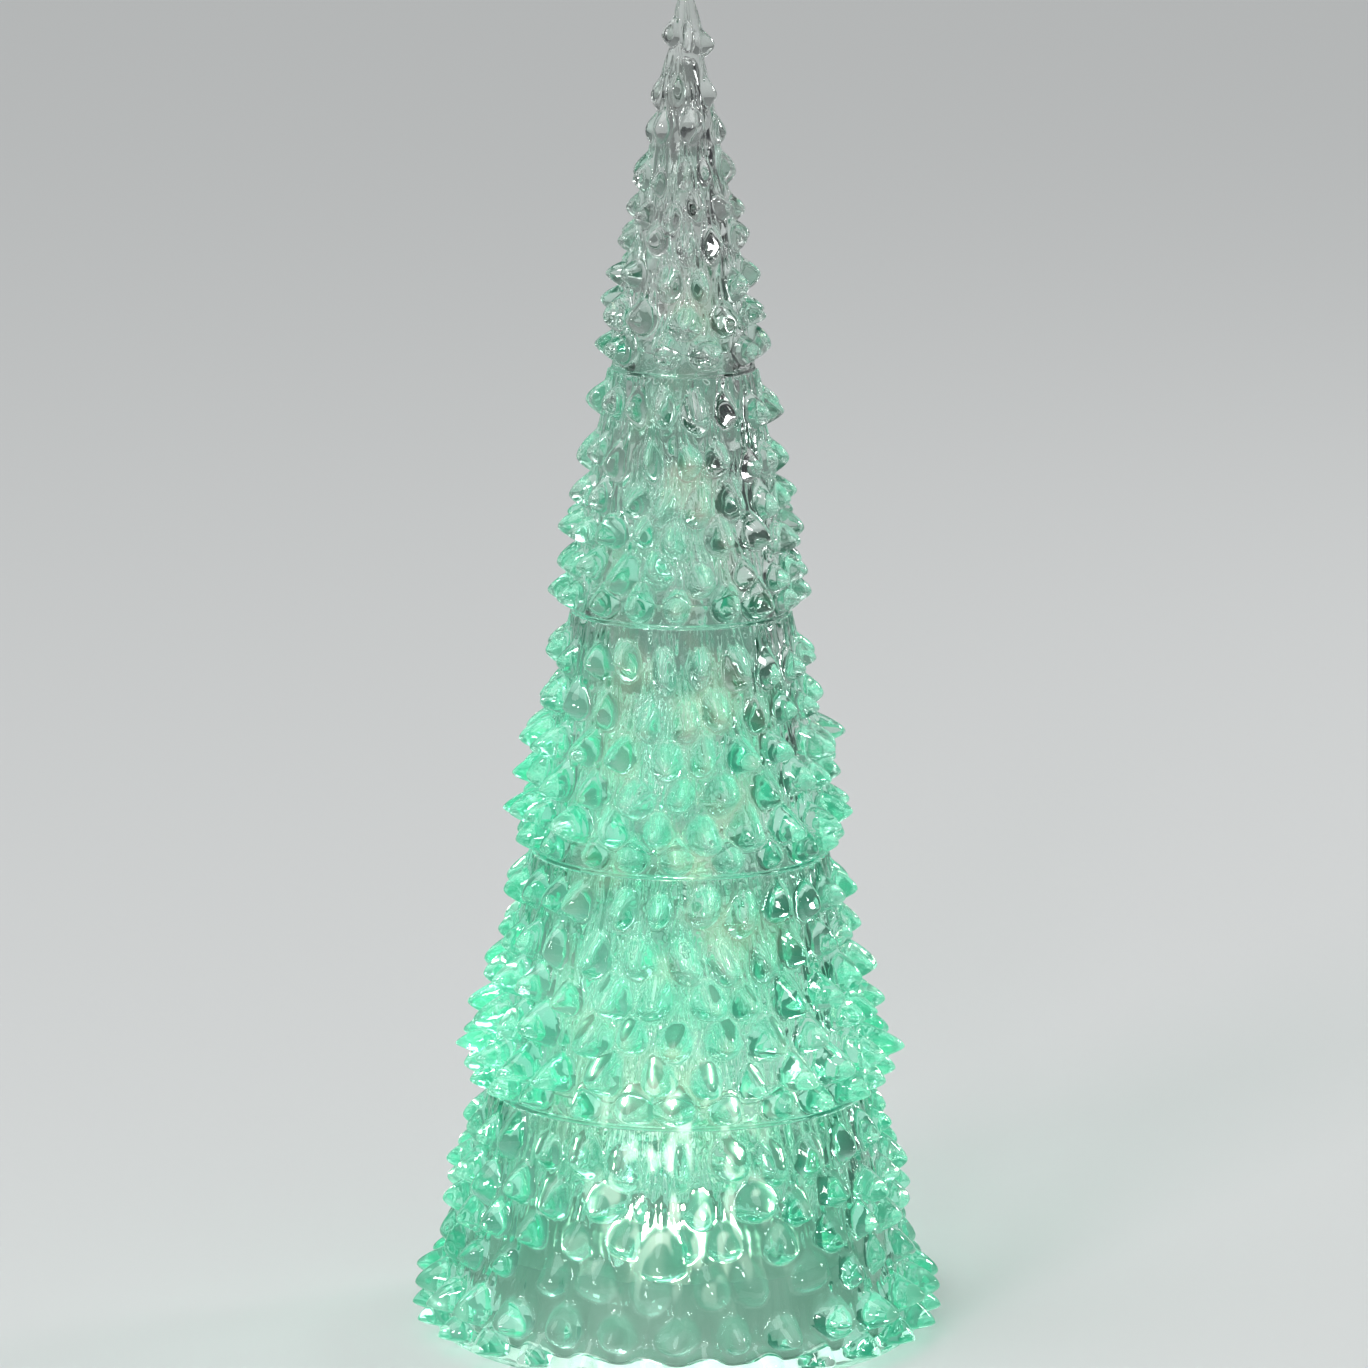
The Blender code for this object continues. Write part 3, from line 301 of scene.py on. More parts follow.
# %% Studio light
ROOM_LOW = (0.22, 0.23, 0.23, 1)
ROOM_HIGH = (0.55, 0.56, 0.56, 1)
ROOM_DARK = (0.05, 0.05, 0.055, 1)
DARK_CONTRAST = 2.6
DARK_START = 1.3
SUN_STRENGTH = 1.0
SUN_WIDTH = math.radians(40)
SUN_PLACE = (-0.6, -0.5, 2.0)
SOFTBOXES = {
    "key": dict(place=(-1.0, -1.6, 1.4), size=0.46, power=18),
    "front": dict(place=(-0.35, -1.7, 0.95), size=0.14, power=4),
    "rim": dict(place=(1.5, 0.7, 1.0), size=0.3, power=8),
    "below": dict(place=(0.8, -0.7, -0.8), size=0.4, power=12),
}

for name, lamp in SOFTBOXES.items():
    light = bpy.data.lights.new(name, "AREA")
    light.energy = lamp["power"]
    light.size = lamp["size"]
    aimed(bpy.data.objects.new(name, light), lamp["place"], CAMERA_TARGET)
sun = bpy.data.lights.new("sun", "SUN")
sun.energy = SUN_STRENGTH
sun.angle = SUN_WIDTH
aimed(bpy.data.objects.new("sun", sun), SUN_PLACE, (0, 0, 0))

world = bpy.data.worlds.new("studio")
bpy.context.scene.world = world
world.use_nodes = True
world.node_tree.nodes.clear()
room = Nodes(world.node_tree)
right, _, up = split(room.add("ShaderNodeTexCoord", output="Generated"))
room_colour = blend(room, ROOM_LOW, ROOM_HIGH, eased(up))
room_colour = blend(room, room_colour, ROOM_DARK, eased(right * DARK_CONTRAST - DARK_START))
background = room.add("ShaderNodeBackground", None, {"Color": room_colour, "Strength": 1.0})
room.add("ShaderNodeOutputWorld", None, {"Surface": background})
bpy.context.scene.view_settings.view_transform = "Standard"
print("lamps: sun,", ", ".join(SOFTBOXES))

# %% [markdown]
# ## Clear moulded plastic
# The tiers are polystyrene, hard and glossy. It is clear, but the mint light of the lamps runs up inside the
# walls and comes out where they curve, so the tree looks mint near its foot and clear near its tip. In the
# photographed tree the light climbs higher on the left.
# The plastic is a transmitting shader. The mint light of the lamps is painted on it: a painted mint tint of
# the outer wall and a little painted glow. Nearly all of the tint is on the outer wall, so that rims and
# bores, where many walls lie behind each other, stay clear. The painted glow of the leaves is strongest on
# their steep sides and at the rims, as the edges of a lit sheet are. Where the plastic is clear, its steep
# sides have a greyer tint, a painted shade. Where the wall faces the viewer the light of the lamps through it
# is painted too: white strokes low down and cream patches higher up. This part of the painted light follows
# the eye, so a baked copy shows it
# all round. Lamp rays pass the plastic, so that what is inside is lit. Two bumps stand for the flow of the
# melt:
# a slow waviness and fine ripples.

# %% Clear plastic
PLASTIC_INDEX = 1.5
# Colours of the painted glow that stands for the lamps' light carried in the walls.
PAINTED_GLOW_MINT = colour(112, 232, 190)
PAINTED_GLOW_GREEN = colour(50, 208, 160)
# Tints of the outer wall where the lamps' light is painted into it as colour.
PAINTED_LAMPLIGHT_TINT = (0.48, 0.80, 0.67, 1)
PAINTED_DEEP_LAMPLIGHT_TINT = (0.31, 0.68, 0.53, 1)
PAINTED_STEEP_LAMPLIGHT_TINT = (0.34, 0.74, 0.60, 1)
CLEAR_TINT = (0.86, 0.885, 0.87, 1)
PAINTED_STEEP_SHADE_TINT = (0.70, 0.76, 0.725, 1)
INNER_TINT = (0.97, 0.98, 0.975, 1)
LAMP_RAY_TINT = (0.82, 0.9, 0.87, 1)
LIT_FULL = 0.08
LIT_SPAN = 0.2
LIT_LEAN = 7.0
PATCH_GRAIN = 0.02
PATCH_STRENGTH = 1.8
DEEP_CONTRAST = 4
DEEP_START = 1.5
DIM_BELOW = 0.035
DIM_SIDES = 0.9
DIM_TINT = 0.16
DIM_SHINE = 0.05
STEEP_CONTRAST = 1.3
STEEP_START = 0.1
STEEP_SHARE = 0.7
MIDDLE_POWER = 5
SIDE_CONTRAST = 2.2
TALL_THUMB = 0.007
GLOW = 0.27
FLAT_GLOW = 0.03
THUMB_GLOW = 0.3
STEEP_GLOW = 0.8
EDGE_GLOW = 1.2
MIDDLE_GLOW = 0.1
STREAK_GRAIN = 0.0036
STREAK_STRETCH = 3.5
STREAK_CONTRAST = 6
STREAK_START = 3.3
STREAK_MIDDLE = 0.05
STREAK_SPAN = 0.038
PAINTED_STREAK_LIGHT = (3.2, 3.5, 3.0, 1)
PAINTED_CREAM_LIGHT = (0.8, 0.52, 0.32, 1)
CREAM_GRAIN = 0.016
CREAM_CONTRAST = 5
CREAM_START = 2.2
CREAM_ABOVE = 0.04
CREAM_OFF_STEEP = 0.8
WAVE_GRAIN = 0.008
WAVE_DEPTH = 0.0014
RIPPLE_GRAIN = 0.0034
RIPPLE_DEPTH = 0.0006
RIPPLE_STRENGTH = 0.35
POLISH = 0.04


def clear_surface(nodes):
    """Clear plastic whose outer wall has a painted tint and a painted glow of the lamps' light from its foot.
    """
    place = object_place(nodes)
    x, y, z = split(place)
    patches = noise(nodes, place, PATCH_GRAIN)
    # Where the lamps' light is painted: low down, more on the left, in patches.
    lit = clamped(1 - (z - LIT_FULL) / LIT_SPAN - x * LIT_LEAN + (patches - 0.5) * PATCH_STRENGTH)
    low = eased(z / DIM_BELOW)
    deep = eased(patches * DEEP_CONTRAST - DEEP_START)
    outside = stored(nodes, "outside")
    normal = nodes.add("ShaderNodeTexCoord", output="Normal")
    straight_out = nodes.add("ShaderNodeVectorMath", {"operation": "NORMALIZE"}, {
        0: nodes.add("ShaderNodeCombineXYZ", None, {0: x, 1: y}),
    })
    facing = nodes.add("ShaderNodeVectorMath", {"operation": "DOT_PRODUCT"}, {
        0: normal, 1: straight_out,
    }, output="Value")
    steep = eased((1 - facing) * STEEP_CONTRAST - STEEP_START)
    turned_away = nodes.add("ShaderNodeLayerWeight", None, {
        "Blend": 0.5, "Normal": straight_out,
    }, output="Facing")
    middle = (1 - turned_away) ** MIDDLE_POWER
    side = eased(turned_away * SIDE_CONTRAST)
    # Near the foot the painted light and tint are kept mostly where the wall turns away from the viewer.
    foot_share = low + (1 - low) * side * DIM_SIDES

    # The mint of the lit walls is painted lamp light, not a colour of the plastic.
    mint = blend(nodes, PAINTED_LAMPLIGHT_TINT, PAINTED_DEEP_LAMPLIGHT_TINT, deep)
    lit_tint = blend(nodes, mint, PAINTED_STEEP_LAMPLIGHT_TINT, steep * STEEP_SHARE)
    # Steep sides of the clear walls get a greyer tint: a painted shade.
    clear = blend(nodes, CLEAR_TINT, PAINTED_STEEP_SHADE_TINT, steep)
    walls = blend(nodes, clear, lit_tint, lit * (DIM_TINT + foot_share * (1 - DIM_TINT)))
    tint = blend(nodes, INNER_TINT, walls, outside)

    standing = clamped(stored(nodes, "rise") / TALL_THUMB)
    # Painted glow of the leaves: most on steep sides, at the rims and on standing thumbs.
    leaves = FLAT_GLOW + standing * THUMB_GLOW + steep * STEEP_GLOW
    leaves = leaves * (1 - MIDDLE_GLOW / 2 + middle * MIDDLE_GLOW)
    brightest = maths("MAXIMUM", leaves, stored(nodes, "edge") * EDGE_GLOW)
    shine = lit * (DIM_SHINE + foot_share * (1 - DIM_SHINE)) * brightest * outside
    soft_glow = blend(nodes, BLACK, blend(nodes, PAINTED_GLOW_MINT, PAINTED_GLOW_GREEN, deep), shine)
    # Cream patches of painted lamp light above the foot, where the wall faces the viewer.
    clouds = eased(noise(nodes, place, CREAM_GRAIN) * CREAM_CONTRAST - CREAM_START)
    painted_cream_light = clouds * lit * eased(z / CREAM_ABOVE - 1) * middle * outside * (1 - steep * CREAM_OFF_STEEP)
    # White strokes of painted lamp light in a band low down, where the wall faces the viewer.
    along = nodes.add("ShaderNodeCombineXYZ", None, {0: x, 1: y, 2: z / STREAK_STRETCH})
    strokes = eased(noise(nodes, along, STREAK_GRAIN, 0.0) * STREAK_CONTRAST - STREAK_START)
    band = eased(1 - maths("ABSOLUTE", z - STREAK_MIDDLE) / STREAK_SPAN) * middle * middle * outside
    glow = blend(nodes, blend(nodes, soft_glow, PAINTED_CREAM_LIGHT, painted_cream_light), PAINTED_STREAK_LIGHT, strokes * band)

    wavy = bumped(nodes, noise(nodes, place, WAVE_GRAIN), WAVE_DEPTH)
    rippled = bumped(nodes, noise(nodes, place, RIPPLE_GRAIN), RIPPLE_DEPTH, RIPPLE_STRENGTH, wavy)
    plastic = nodes.add("ShaderNodeBsdfPrincipled", None, {
        "Base Color": tint, "Roughness": POLISH, "IOR": PLASTIC_INDEX, "Transmission Weight": 1.0,
        "Emission Color": glow, "Emission Strength": GLOW, "Normal": rippled,
    })
    passing = nodes.add("ShaderNodeBsdfTransparent", None, {"Color": LAMP_RAY_TINT})
    shadow = nodes.add("ShaderNodeLightPath", output="Is Shadow Ray")
    return nodes.add("ShaderNodeMixShader", None, {0: shadow, 1: plastic, 2: passing})


clear_plastic = new_material("clear plastic", clear_surface)
print("clear plastic:", len(clear_plastic.node_tree.nodes), "nodes")

# %% [markdown]
# ## One row of leaves
# A leaf is a fan: narrow above, widening downwards, with a few flutes that spread from its top. It ends in a
# round lobe. On the lobe sits a thumb that points outwards. Several hundred of them cover the tree, in rows
# that are staggered by half a leaf. Apart from the two lowest rows no two leaves are alike.
# They could be modelled once and scattered, but then each would cut through the cone and its neighbours, and
# clear plastic shows every such wall. So a leaf is a rule instead: it says how far the surface stands out at
# any angle and height. The group below is that rule for one row.

# %% Helpers for geometry trees
def new_tree(name, inputs, outputs):
    """A Geometry Nodes tree with named inputs. Returns its nodes and a port for each input."""
    tree = bpy.data.node_groups.new(name, "GeometryNodeTree")
    for label, kind, value in inputs:
        socket = tree.interface.new_socket(label, in_out="INPUT", socket_type=f"NodeSocket{kind}")
        if value is not None:
            socket.default_value = value
    for label, kind in outputs:
        tree.interface.new_socket(label, in_out="OUTPUT", socket_type=f"NodeSocket{kind}")
    nodes = Nodes(tree)
    start = nodes.add("NodeGroupInput")
    return nodes, {label: start.out(label) for label, _, _ in inputs}


def put_modifier(obj, tree, values):
    """A Geometry Nodes modifier whose inputs are set by their identifiers."""
    modifier = obj.modifiers.new(tree.name, "NODES")
    modifier.node_group = tree
    for item in tree.interface.items_tree:
        if item.in_out == "INPUT" and item.name in values:
            modifier[item.identifier] = values[item.name]


def baked(obj, sharp):
    """The evaluated object as a plain mesh, with its modifiers gone and edges past an angle kept sharp."""
    graph = bpy.context.evaluated_depsgraph_get()
    mesh = bpy.data.meshes.new_from_object(obj.evaluated_get(graph))
    obj.modifiers.clear()
    obj.data = mesh
    mesh.shade_smooth()
    mesh.set_sharp_from_angle(angle=math.radians(sharp))
    return obj


def report(obj):
    """Prints a piece's triangles, open edges and volume, which is positive where faces point outwards."""
    shape = bmesh.new()
    shape.from_mesh(obj.data)
    open_edges = sum(not edge.is_manifold for edge in shape.edges)
    triangles = sum(len(face.verts) - 2 for face in shape.faces)
    volume = shape.calc_volume(signed=True) / MM ** 3
    print(f"{obj.name}: {triangles} triangles, {open_edges} open edges, {volume:.0f} mm3")
    shape.free()


print("helpers are ready")

# %% [markdown]
# A row counts its leaves round the tier. At any angle the nearest leaf decides, so the rule first finds its
# number, and from the number come its own reach, lean, lift and girth. The fan has a straight side and a
# round lower edge with a lip. The thumb is a dome that runs out upwards and falls away fast below its tip.

# %% The rule for one row
REACH_VARIATION = 0.1
SWING_PER_LEAF = 2.4
SWING_PER_ROW = 1.7
CHANCE_STRETCH = 7
LEAN = 0.3
GIRTH_VARIATION = 0.44
SHORTEST_REACH = 0.84
FAN_WIDTH_SHARE = 0.86
FAN_GIRTH_SHARE = 0.3
FAN_TAPER_SHARE = 0.5
FAN_RISE_SHARE = 0.24
FAN_FALL = 1.1
STRAIGHT_SIDE = 0.0028
LIP_SHARE = 0.34
FLUTE_DEPTH = 0.0005
FLUTES = 3.2
LEAST_CROWN = 0.01
THUMB_WIDTH_SHARE = 0.8
THUMB_TAPER_SHARE = 0.3
THUMB_LENGTH_SHARE = 0.45
THUMB_LENGTH_GIRTH_SHARE = 0.6
THUMB_ROUNDNESS = 1.75
THUMB_SHAPE = 1.15
MELT = 0.0008
LEAST_REACH = 0.00001
COVER_CONTRAST = 3

nodes, given = new_tree("leaf row", [
    ("Angle", "Float", 0),
    ("Height", "Float", 0),
    ("Radius", "Float", 0),
    ("Tip", "Float", 0),
    ("Reach", "Float", 0),
    ("Leaves", "Float", 1),
    ("Row", "Float", 0),
    ("Variation", "Float", 1),
    ("Leaf length", "Float", 0),
    ("Thumb drop", "Float", 0),
    ("Edge drop", "Float", 0),
    ("Lift", "Float", 0),
    ("Only", "Float", -1),
    ("Seed", "Float", 0),
], [("Rise", "Float"), ("Cover", "Float")])

turn = given["Angle"] * given["Leaves"] / math.tau + maths("MODULO", given["Row"], 2) / 2
nearest = maths("ROUND", turn)
number = maths("FLOORED_MODULO", nearest, given["Leaves"])
swing = maths("SINE", number * SWING_PER_LEAF + given["Row"] * SWING_PER_ROW) * given["Variation"]
leaf = nodes.add("ShaderNodeCombineXYZ", None, {0: number, 1: given["Row"], 2: given["Seed"]})
chance = nodes.add("ShaderNodeTexWhiteNoise", {"noise_dimensions": "3D"}, {"Vector": leaf}, output="Color")
first_chance, lift, third_chance = split(chance)
lean = (first_chance - 0.5) * (2 * LEAN) * given["Variation"]
girth = (third_chance - 0.5) * GIRTH_VARIATION * given["Variation"]
short = maths("FRACT", first_chance * CHANCE_STRETCH) * (1 - SHORTEST_REACH) * given["Variation"]
reach = given["Reach"] * (1 + swing * REACH_VARIATION) * (1 - short)
half_pitch = given["Radius"] * math.pi / given["Leaves"]
sideways = ((turn - nearest) * 2 + lean) * half_pitch
above = given["Height"] - given["Tip"] - lift * given["Lift"] * given["Variation"]
up = clamped(above / given["Leaf length"])

fan_width = FAN_WIDTH_SHARE + girth * FAN_GIRTH_SHARE
across = sideways / (half_pitch * fan_width * (1 - up * FAN_TAPER_SHARE))
crown = clamped(1 - across * across)
below = maths("MAXIMUM", STRAIGHT_SIDE - above, 0) / (given["Edge drop"] + STRAIGHT_SIDE)
inside = eased((1 - below / maths("SQRT", crown + LEAST_CROWN)) / LIP_SHARE)
flutes = maths("COSINE", across * (math.pi * FLUTES)) * (4 * FLUTE_DEPTH) * up * (1 - up)
fan = (reach * FAN_RISE_SHARE * (1 - up) ** FAN_FALL + flutes) * inside * crown

thumb_side = sideways / (half_pitch * THUMB_WIDTH_SHARE * (1 + girth) * (1 - up * THUMB_TAPER_SHARE))
thumb_length = given["Leaf length"] * THUMB_LENGTH_SHARE * (1 + girth * THUMB_LENGTH_GIRTH_SHARE)
thumb_up = maths("MAXIMUM", above, 0) / thumb_length
thumb_down = maths("MAXIMUM", -above, 0) / given["Thumb drop"]
thumb_way = thumb_up + thumb_down
distance = thumb_side * thumb_side + thumb_way * thumb_way
thumb = reach * maths("MAXIMUM", 1 - distance ** (THUMB_ROUNDNESS / 2), 0) ** THUMB_SHAPE

other = maths("COMPARE", number, given["Only"], 0.5)
chosen = maths("MAXIMUM", maths("LESS_THAN", given["Only"], 0), other)
there = maths("GREATER_THAN", given["Reach"], LEAST_REACH) * chosen
melted = maths("SMOOTH_MAX", fan, thumb, MELT) - MELT / 6
rise = maths("MAXIMUM", melted, 0) * there
cover = clamped(inside * crown * COVER_CONTRAST) * there
nodes.add("NodeGroupOutput", None, {"Rise": rise, "Cover": cover})
leaf_row = nodes.tree
print("leaf row:", len(leaf_row.nodes), "nodes")

# %% [markdown]
# ## A leafy tier
# The real tier is moulded in one piece: a cone with its leaves outside, a smooth bore inside, a socket below
# that takes the neck of the tier under it, and a neck above. The tree of nodes makes it the way a lathe and
# then a carver would. It wraps a grid round the tier's outline, one column for each step round and one line
# for each point of the outline, and then raises the outer wall by the highest leaf at each place. A slow
# noise shifts the places where the leaves are looked up, so that the rows don't run like rings on a lathe.
# The seam of the grid is merged, so the shell is closed, and its faces are turned outwards.
# Three values are stored on its points for the finish, whose tint and painted glow follow them: how far a
# point is raised, whether it lies on the outside, and whether it lies on the edge of the rim. The outside and
# the edge are counted in grid lines from the end of the leafy wall.
# One leaf at the front of the lowest tier is half as large again as the others and lies over them. It is a
# row of its own, of which only one leaf is kept.

# %% The tree of a tier
MOST_ROWS = 9
THUMB_DROP = 0.004
EDGE_DROP = 0.0026
TIP_LIFT = 0.0024
NECK_FLUTE_RISE = 0.00022
SEAM_MERGE = 0.000003
WARP_GRAIN = 0.02
WARP_ROUND = 0.0035
WARP_UP = 0.004
WARP_FREE = 0.008
WARP_START = 0.5
OUTSIDE_LINES = 3.5
EDGE_LINES = (-1.5, 5.5)

inputs = [
    ("Outline", "Geometry", None),
    ("Columns", "Int", 100),
    ("Wall levels", "Int", 100),
    ("Foot", "Float", 0),
    ("Top", "Float", 1),
    ("Foot radius", "Float", 1),
    ("Neck radius", "Float", 1),
    ("Rim top", "Float", 0),
    ("Leaf length", "Float", 0.01),
    ("Even rows", "Float", 0),
    ("Seed", "Float", 0),
    ("Neck flutes", "Float", 10),
    ("Neck flute length", "Float", 0.01),
    ("Ring", "Float", 1),
    ("Lobe tip", "Float", 0),
    ("Lobe reach", "Float", 0),
    ("Lobe leaves", "Float", 1),
    ("Lobe number", "Float", 0),
    ("Lobe length", "Float", 0.01),
    ("Material", "Material", None),
]
for row in range(MOST_ROWS):
    inputs += [(f"Row {row} {what}", "Float", 0) for what in ("tip", "reach", "leaves")]
nodes, given = new_tree("leafy tier", inputs, [("Tier", "Geometry")])

size = nodes.add("GeometryNodeAttributeDomainSize", {"component": "MESH"}, {"Geometry": given["Outline"]})
lines = size.out("Point Count")
grid = nodes.add("GeometryNodeMeshGrid", None, {"Vertices X": given["Columns"] + 1, "Vertices Y": lines})
index = nodes.add("GeometryNodeInputIndex")
line = maths("FLOORED_MODULO", index, lines)
column = maths("FLOOR", (index + 0.5) / lines)
point = nodes.add(
    "GeometryNodeSampleIndex",
    {"data_type": "FLOAT_VECTOR", "domain": "POINT"},
    {"Geometry": given["Outline"], "Value": nodes.add("GeometryNodeInputPosition"), "Index": line},
)
radius, _, height = split(point)
angle = maths("FLOORED_MODULO", column, given["Columns"]) * math.tau / given["Columns"]
straight = nodes.add("ShaderNodeCombineXYZ", None, {
    0: radius * maths("COSINE", angle),
    1: radius * maths("SINE", angle),
    2: height,
})
warp = nodes.add("ShaderNodeTexNoise", {"noise_dimensions": "4D"}, {
    "Vector": straight,
    "W": given["Seed"],
    "Scale": 1 / WARP_GRAIN,
    "Detail": 1.0,
}, output="Color")
warp_round, warp_up, _ = split(warp)
free = eased((height - given["Foot"]) / WARP_FREE - WARP_START)
leaf_angle = angle + (warp_round - 0.5) * (2 * WARP_ROUND) * free / maths("MAXIMUM", radius, WARP_ROUND * 4)
leaf_height = height + (warp_up - 0.5) * (2 * WARP_UP) * free

highest = None
for row in range(MOST_ROWS):
    tip = given[f"Row {row} tip"]
    share = (tip - given["Foot"]) / (given["Top"] - given["Foot"])
    rise = nodes.add("GeometryNodeGroup", {"node_tree": leaf_row}, {
        "Angle": leaf_angle,
        "Height": leaf_height,
        "Radius": given["Foot radius"] + (given["Neck radius"] - given["Foot radius"]) * share,
        "Tip": tip,
        "Reach": given[f"Row {row} reach"],
        "Leaves": given[f"Row {row} leaves"],
        "Row": float(row),
        "Variation": maths("GREATER_THAN", row + 0.5, given["Even rows"]),
        "Leaf length": given["Leaf length"],
        "Thumb drop": maths("MINIMUM", THUMB_DROP, tip - given["Rim top"]),
        "Edge drop": maths("MINIMUM", EDGE_DROP, tip - given["Rim top"]),
        "Lift": TIP_LIFT if row else 0.0,
        "Seed": given["Seed"],
    })
    highest = maths("MAXIMUM", highest, rise) if highest else rise

lobe = nodes.add("GeometryNodeGroup", {"node_tree": leaf_row}, {
    "Angle": angle,
    "Height": height,
    "Radius": given["Foot radius"],
    "Tip": given["Lobe tip"],
    "Reach": given["Lobe reach"],
    "Leaves": given["Lobe leaves"],
    "Variation": 0.0,
    "Leaf length": given["Lobe length"],
    "Thumb drop": EDGE_DROP,
    "Edge drop": EDGE_DROP,
    "Only": given["Lobe number"],
})
highest = highest * (1 - lobe.out("Cover")) + lobe
near_top = eased((height - given["Top"]) / given["Neck flute length"] + 1) * given["Ring"]
neck = (1 + maths("COSINE", angle * given["Neck flutes"])) * NECK_FLUTE_RISE * near_top
last = maths("GREATER_THAN", line, lines - 1.5) * given["Ring"]
on_wall = maths("MAXIMUM", maths("LESS_THAN", line, given["Wall levels"]), last)
rise = maths("MAXIMUM", highest, neck) * on_wall
grown = radius + rise
place = nodes.add("ShaderNodeCombineXYZ", None, {
    0: grown * maths("COSINE", angle),
    1: grown * maths("SINE", angle),
    2: height,
})
after_wall = line - given["Wall levels"]
edge = maths("GREATER_THAN", after_wall, EDGE_LINES[0]) * maths("LESS_THAN", after_wall, EDGE_LINES[1])
marks = {"rise": rise, "outside": maths("LESS_THAN", after_wall, OUTSIDE_LINES), "edge": edge}
marked = grid
for name, value in marks.items():
    marked = nodes.add("GeometryNodeStoreNamedAttribute", {"data_type": "FLOAT", "domain": "POINT"}, {
        "Geometry": marked,
        "Name": name,
        "Value": value,
    })
shaped = nodes.add("GeometryNodeSetPosition", None, {"Geometry": marked, "Position": place})
closed = nodes.add("GeometryNodeMergeByDistance", None, {"Geometry": shaped, "Distance": SEAM_MERGE})
outwards = nodes.add("GeometryNodeFlipFaces", None, {"Mesh": closed})
real = nodes.add("GeometryNodeRealizeInstances", None, {"Geometry": outwards})
painted = nodes.add("GeometryNodeSetMaterial", None, {"Geometry": real, "Material": given["Material"]})
nodes.add("NodeGroupOutput", None, {"Tier": painted})
leafy_tier = nodes.tree
print("leafy tier:", len(leafy_tier.nodes), "nodes")

# %% [markdown]
# ## The five tiers
# Each tier has its own number of leaves and its own rows. The rows' heights and reaches are shares of the
# tier's height and of one common reach. The seams come from the frame: the rim of each tier stands a fine
# gap above the shoulder of the one below.

# %% Sizes of the tiers
FIT_GAP = 0.0003
LEAF_REACH = 0.008
WALL = 0.0025
RIM_PROUD = 0.0001
RIM_EDGE = 0.0003
RIM_ROUNDING = 0.3
RIM_GAP = 0.00005
SHOULDER = 0.0028
SPIGOT_HEIGHT = 0.005
SPIGOT_WALL = 0.002
NECK_SLOPE = 0.003
TIP_RADIUS = 0.001
TIP_STEPS = 5
CAVITY_TIP = 0.002
CAVITY_ROUNDING = 0.7
PLATE_THICKNESS = 0.003
NECK_FLUTE_PITCH = 0.004
NECK_FLUTE_LENGTH = 0.012
SEAM_RADII = (0.0575, 0.0445, 0.0345, 0.0255, 0.0168, TIP_RADIUS)

names = ["base_tier", "lower_tier", "middle_tier", "upper_tier", "top_tier"]
seams = [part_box("base_tier")[0].z]
seams += [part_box(name)[0].z - FIT_GAP for name in names[1:]]
seams += [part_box("top_tier")[1].z]
TIERS = [
    dict(
        leaves=26, columns=22, levels=150, rim=0.0012, length=0.015, even=2,
        tip_shares=(0.055, 0.181, 0.36, 0.528, 0.677, 0.849),
        reach_shares=(0.8, 0.98, 0.58, 0.78, 0.85, 0.62),
    ),
    dict(
        leaves=24, columns=22, levels=155, rim=0.001, length=0.015, even=0,
        tip_shares=(0.08, 0.175, 0.325, 0.48, 0.64, 0.833),
        reach_shares=(1.05, 1.3, 1.1, 1.05, 0.7, 0.72),
    ),
    dict(
        leaves=20, columns=24, levels=155, rim=0.001, length=0.014, even=0,
        tip_shares=(0.08, 0.16, 0.31, 0.455, 0.62, 0.8),
        reach_shares=(0.75, 1.14, 0.95, 1.1, 0.7, 0.68),
    ),
    dict(
        leaves=16, columns=26, levels=155, rim=0.001, length=0.013, even=0,
        tip_shares=(0.086, 0.184, 0.35, 0.474, 0.632, 0.842),
        reach_shares=(0.82, 0.78, 0.9, 0.74, 0.63, 0.72),
    ),
    dict(
        leaves=10, columns=28, levels=260, rim=0.001, length=0.0105, even=0,
        tip_shares=(0.065, 0.135, 0.227, 0.32, 0.401, 0.496, 0.602, 0.696, 0.84),
        reach_shares=(0.7, 0.74, 0.66, 0.56, 0.5, 0.53, 0.38, 0.33, 0.38),
    ),
]
SPARSE_ROWS = range(6, 9)
BIG_LOBE = {
    "Lobe tip": 0.0275,
    "Lobe reach": 0.006,
    "Lobe leaves": 20.316,
    "Lobe number": 15.0,
    "Lobe length": 0.024,
}
print("seams at", [round(seam / MM, 1) for seam in seams], "mm")

# %% [markdown]
# The outline of a tier is a walk of points, each a radius and a height: down the outer wall in fine steps
# for the leaves, over the rim, up the bore, and over the neck to where it began. The top tier has no neck, so
# its walk begins and ends on the axis. Only the rim, the bore and the neck are listed, because the wall is a
# straight line.

# %% The outline of a tier
def rounded_tip(top):
    """The blunt end of the tree from its pole down to its side."""
    turns = [math.pi / 2 * step / TIP_STEPS for step in range(TIP_STEPS)]
    return [(TIP_RADIUS * math.sin(turn), top - TIP_RADIUS * (1 - math.cos(turn))) for turn in turns]


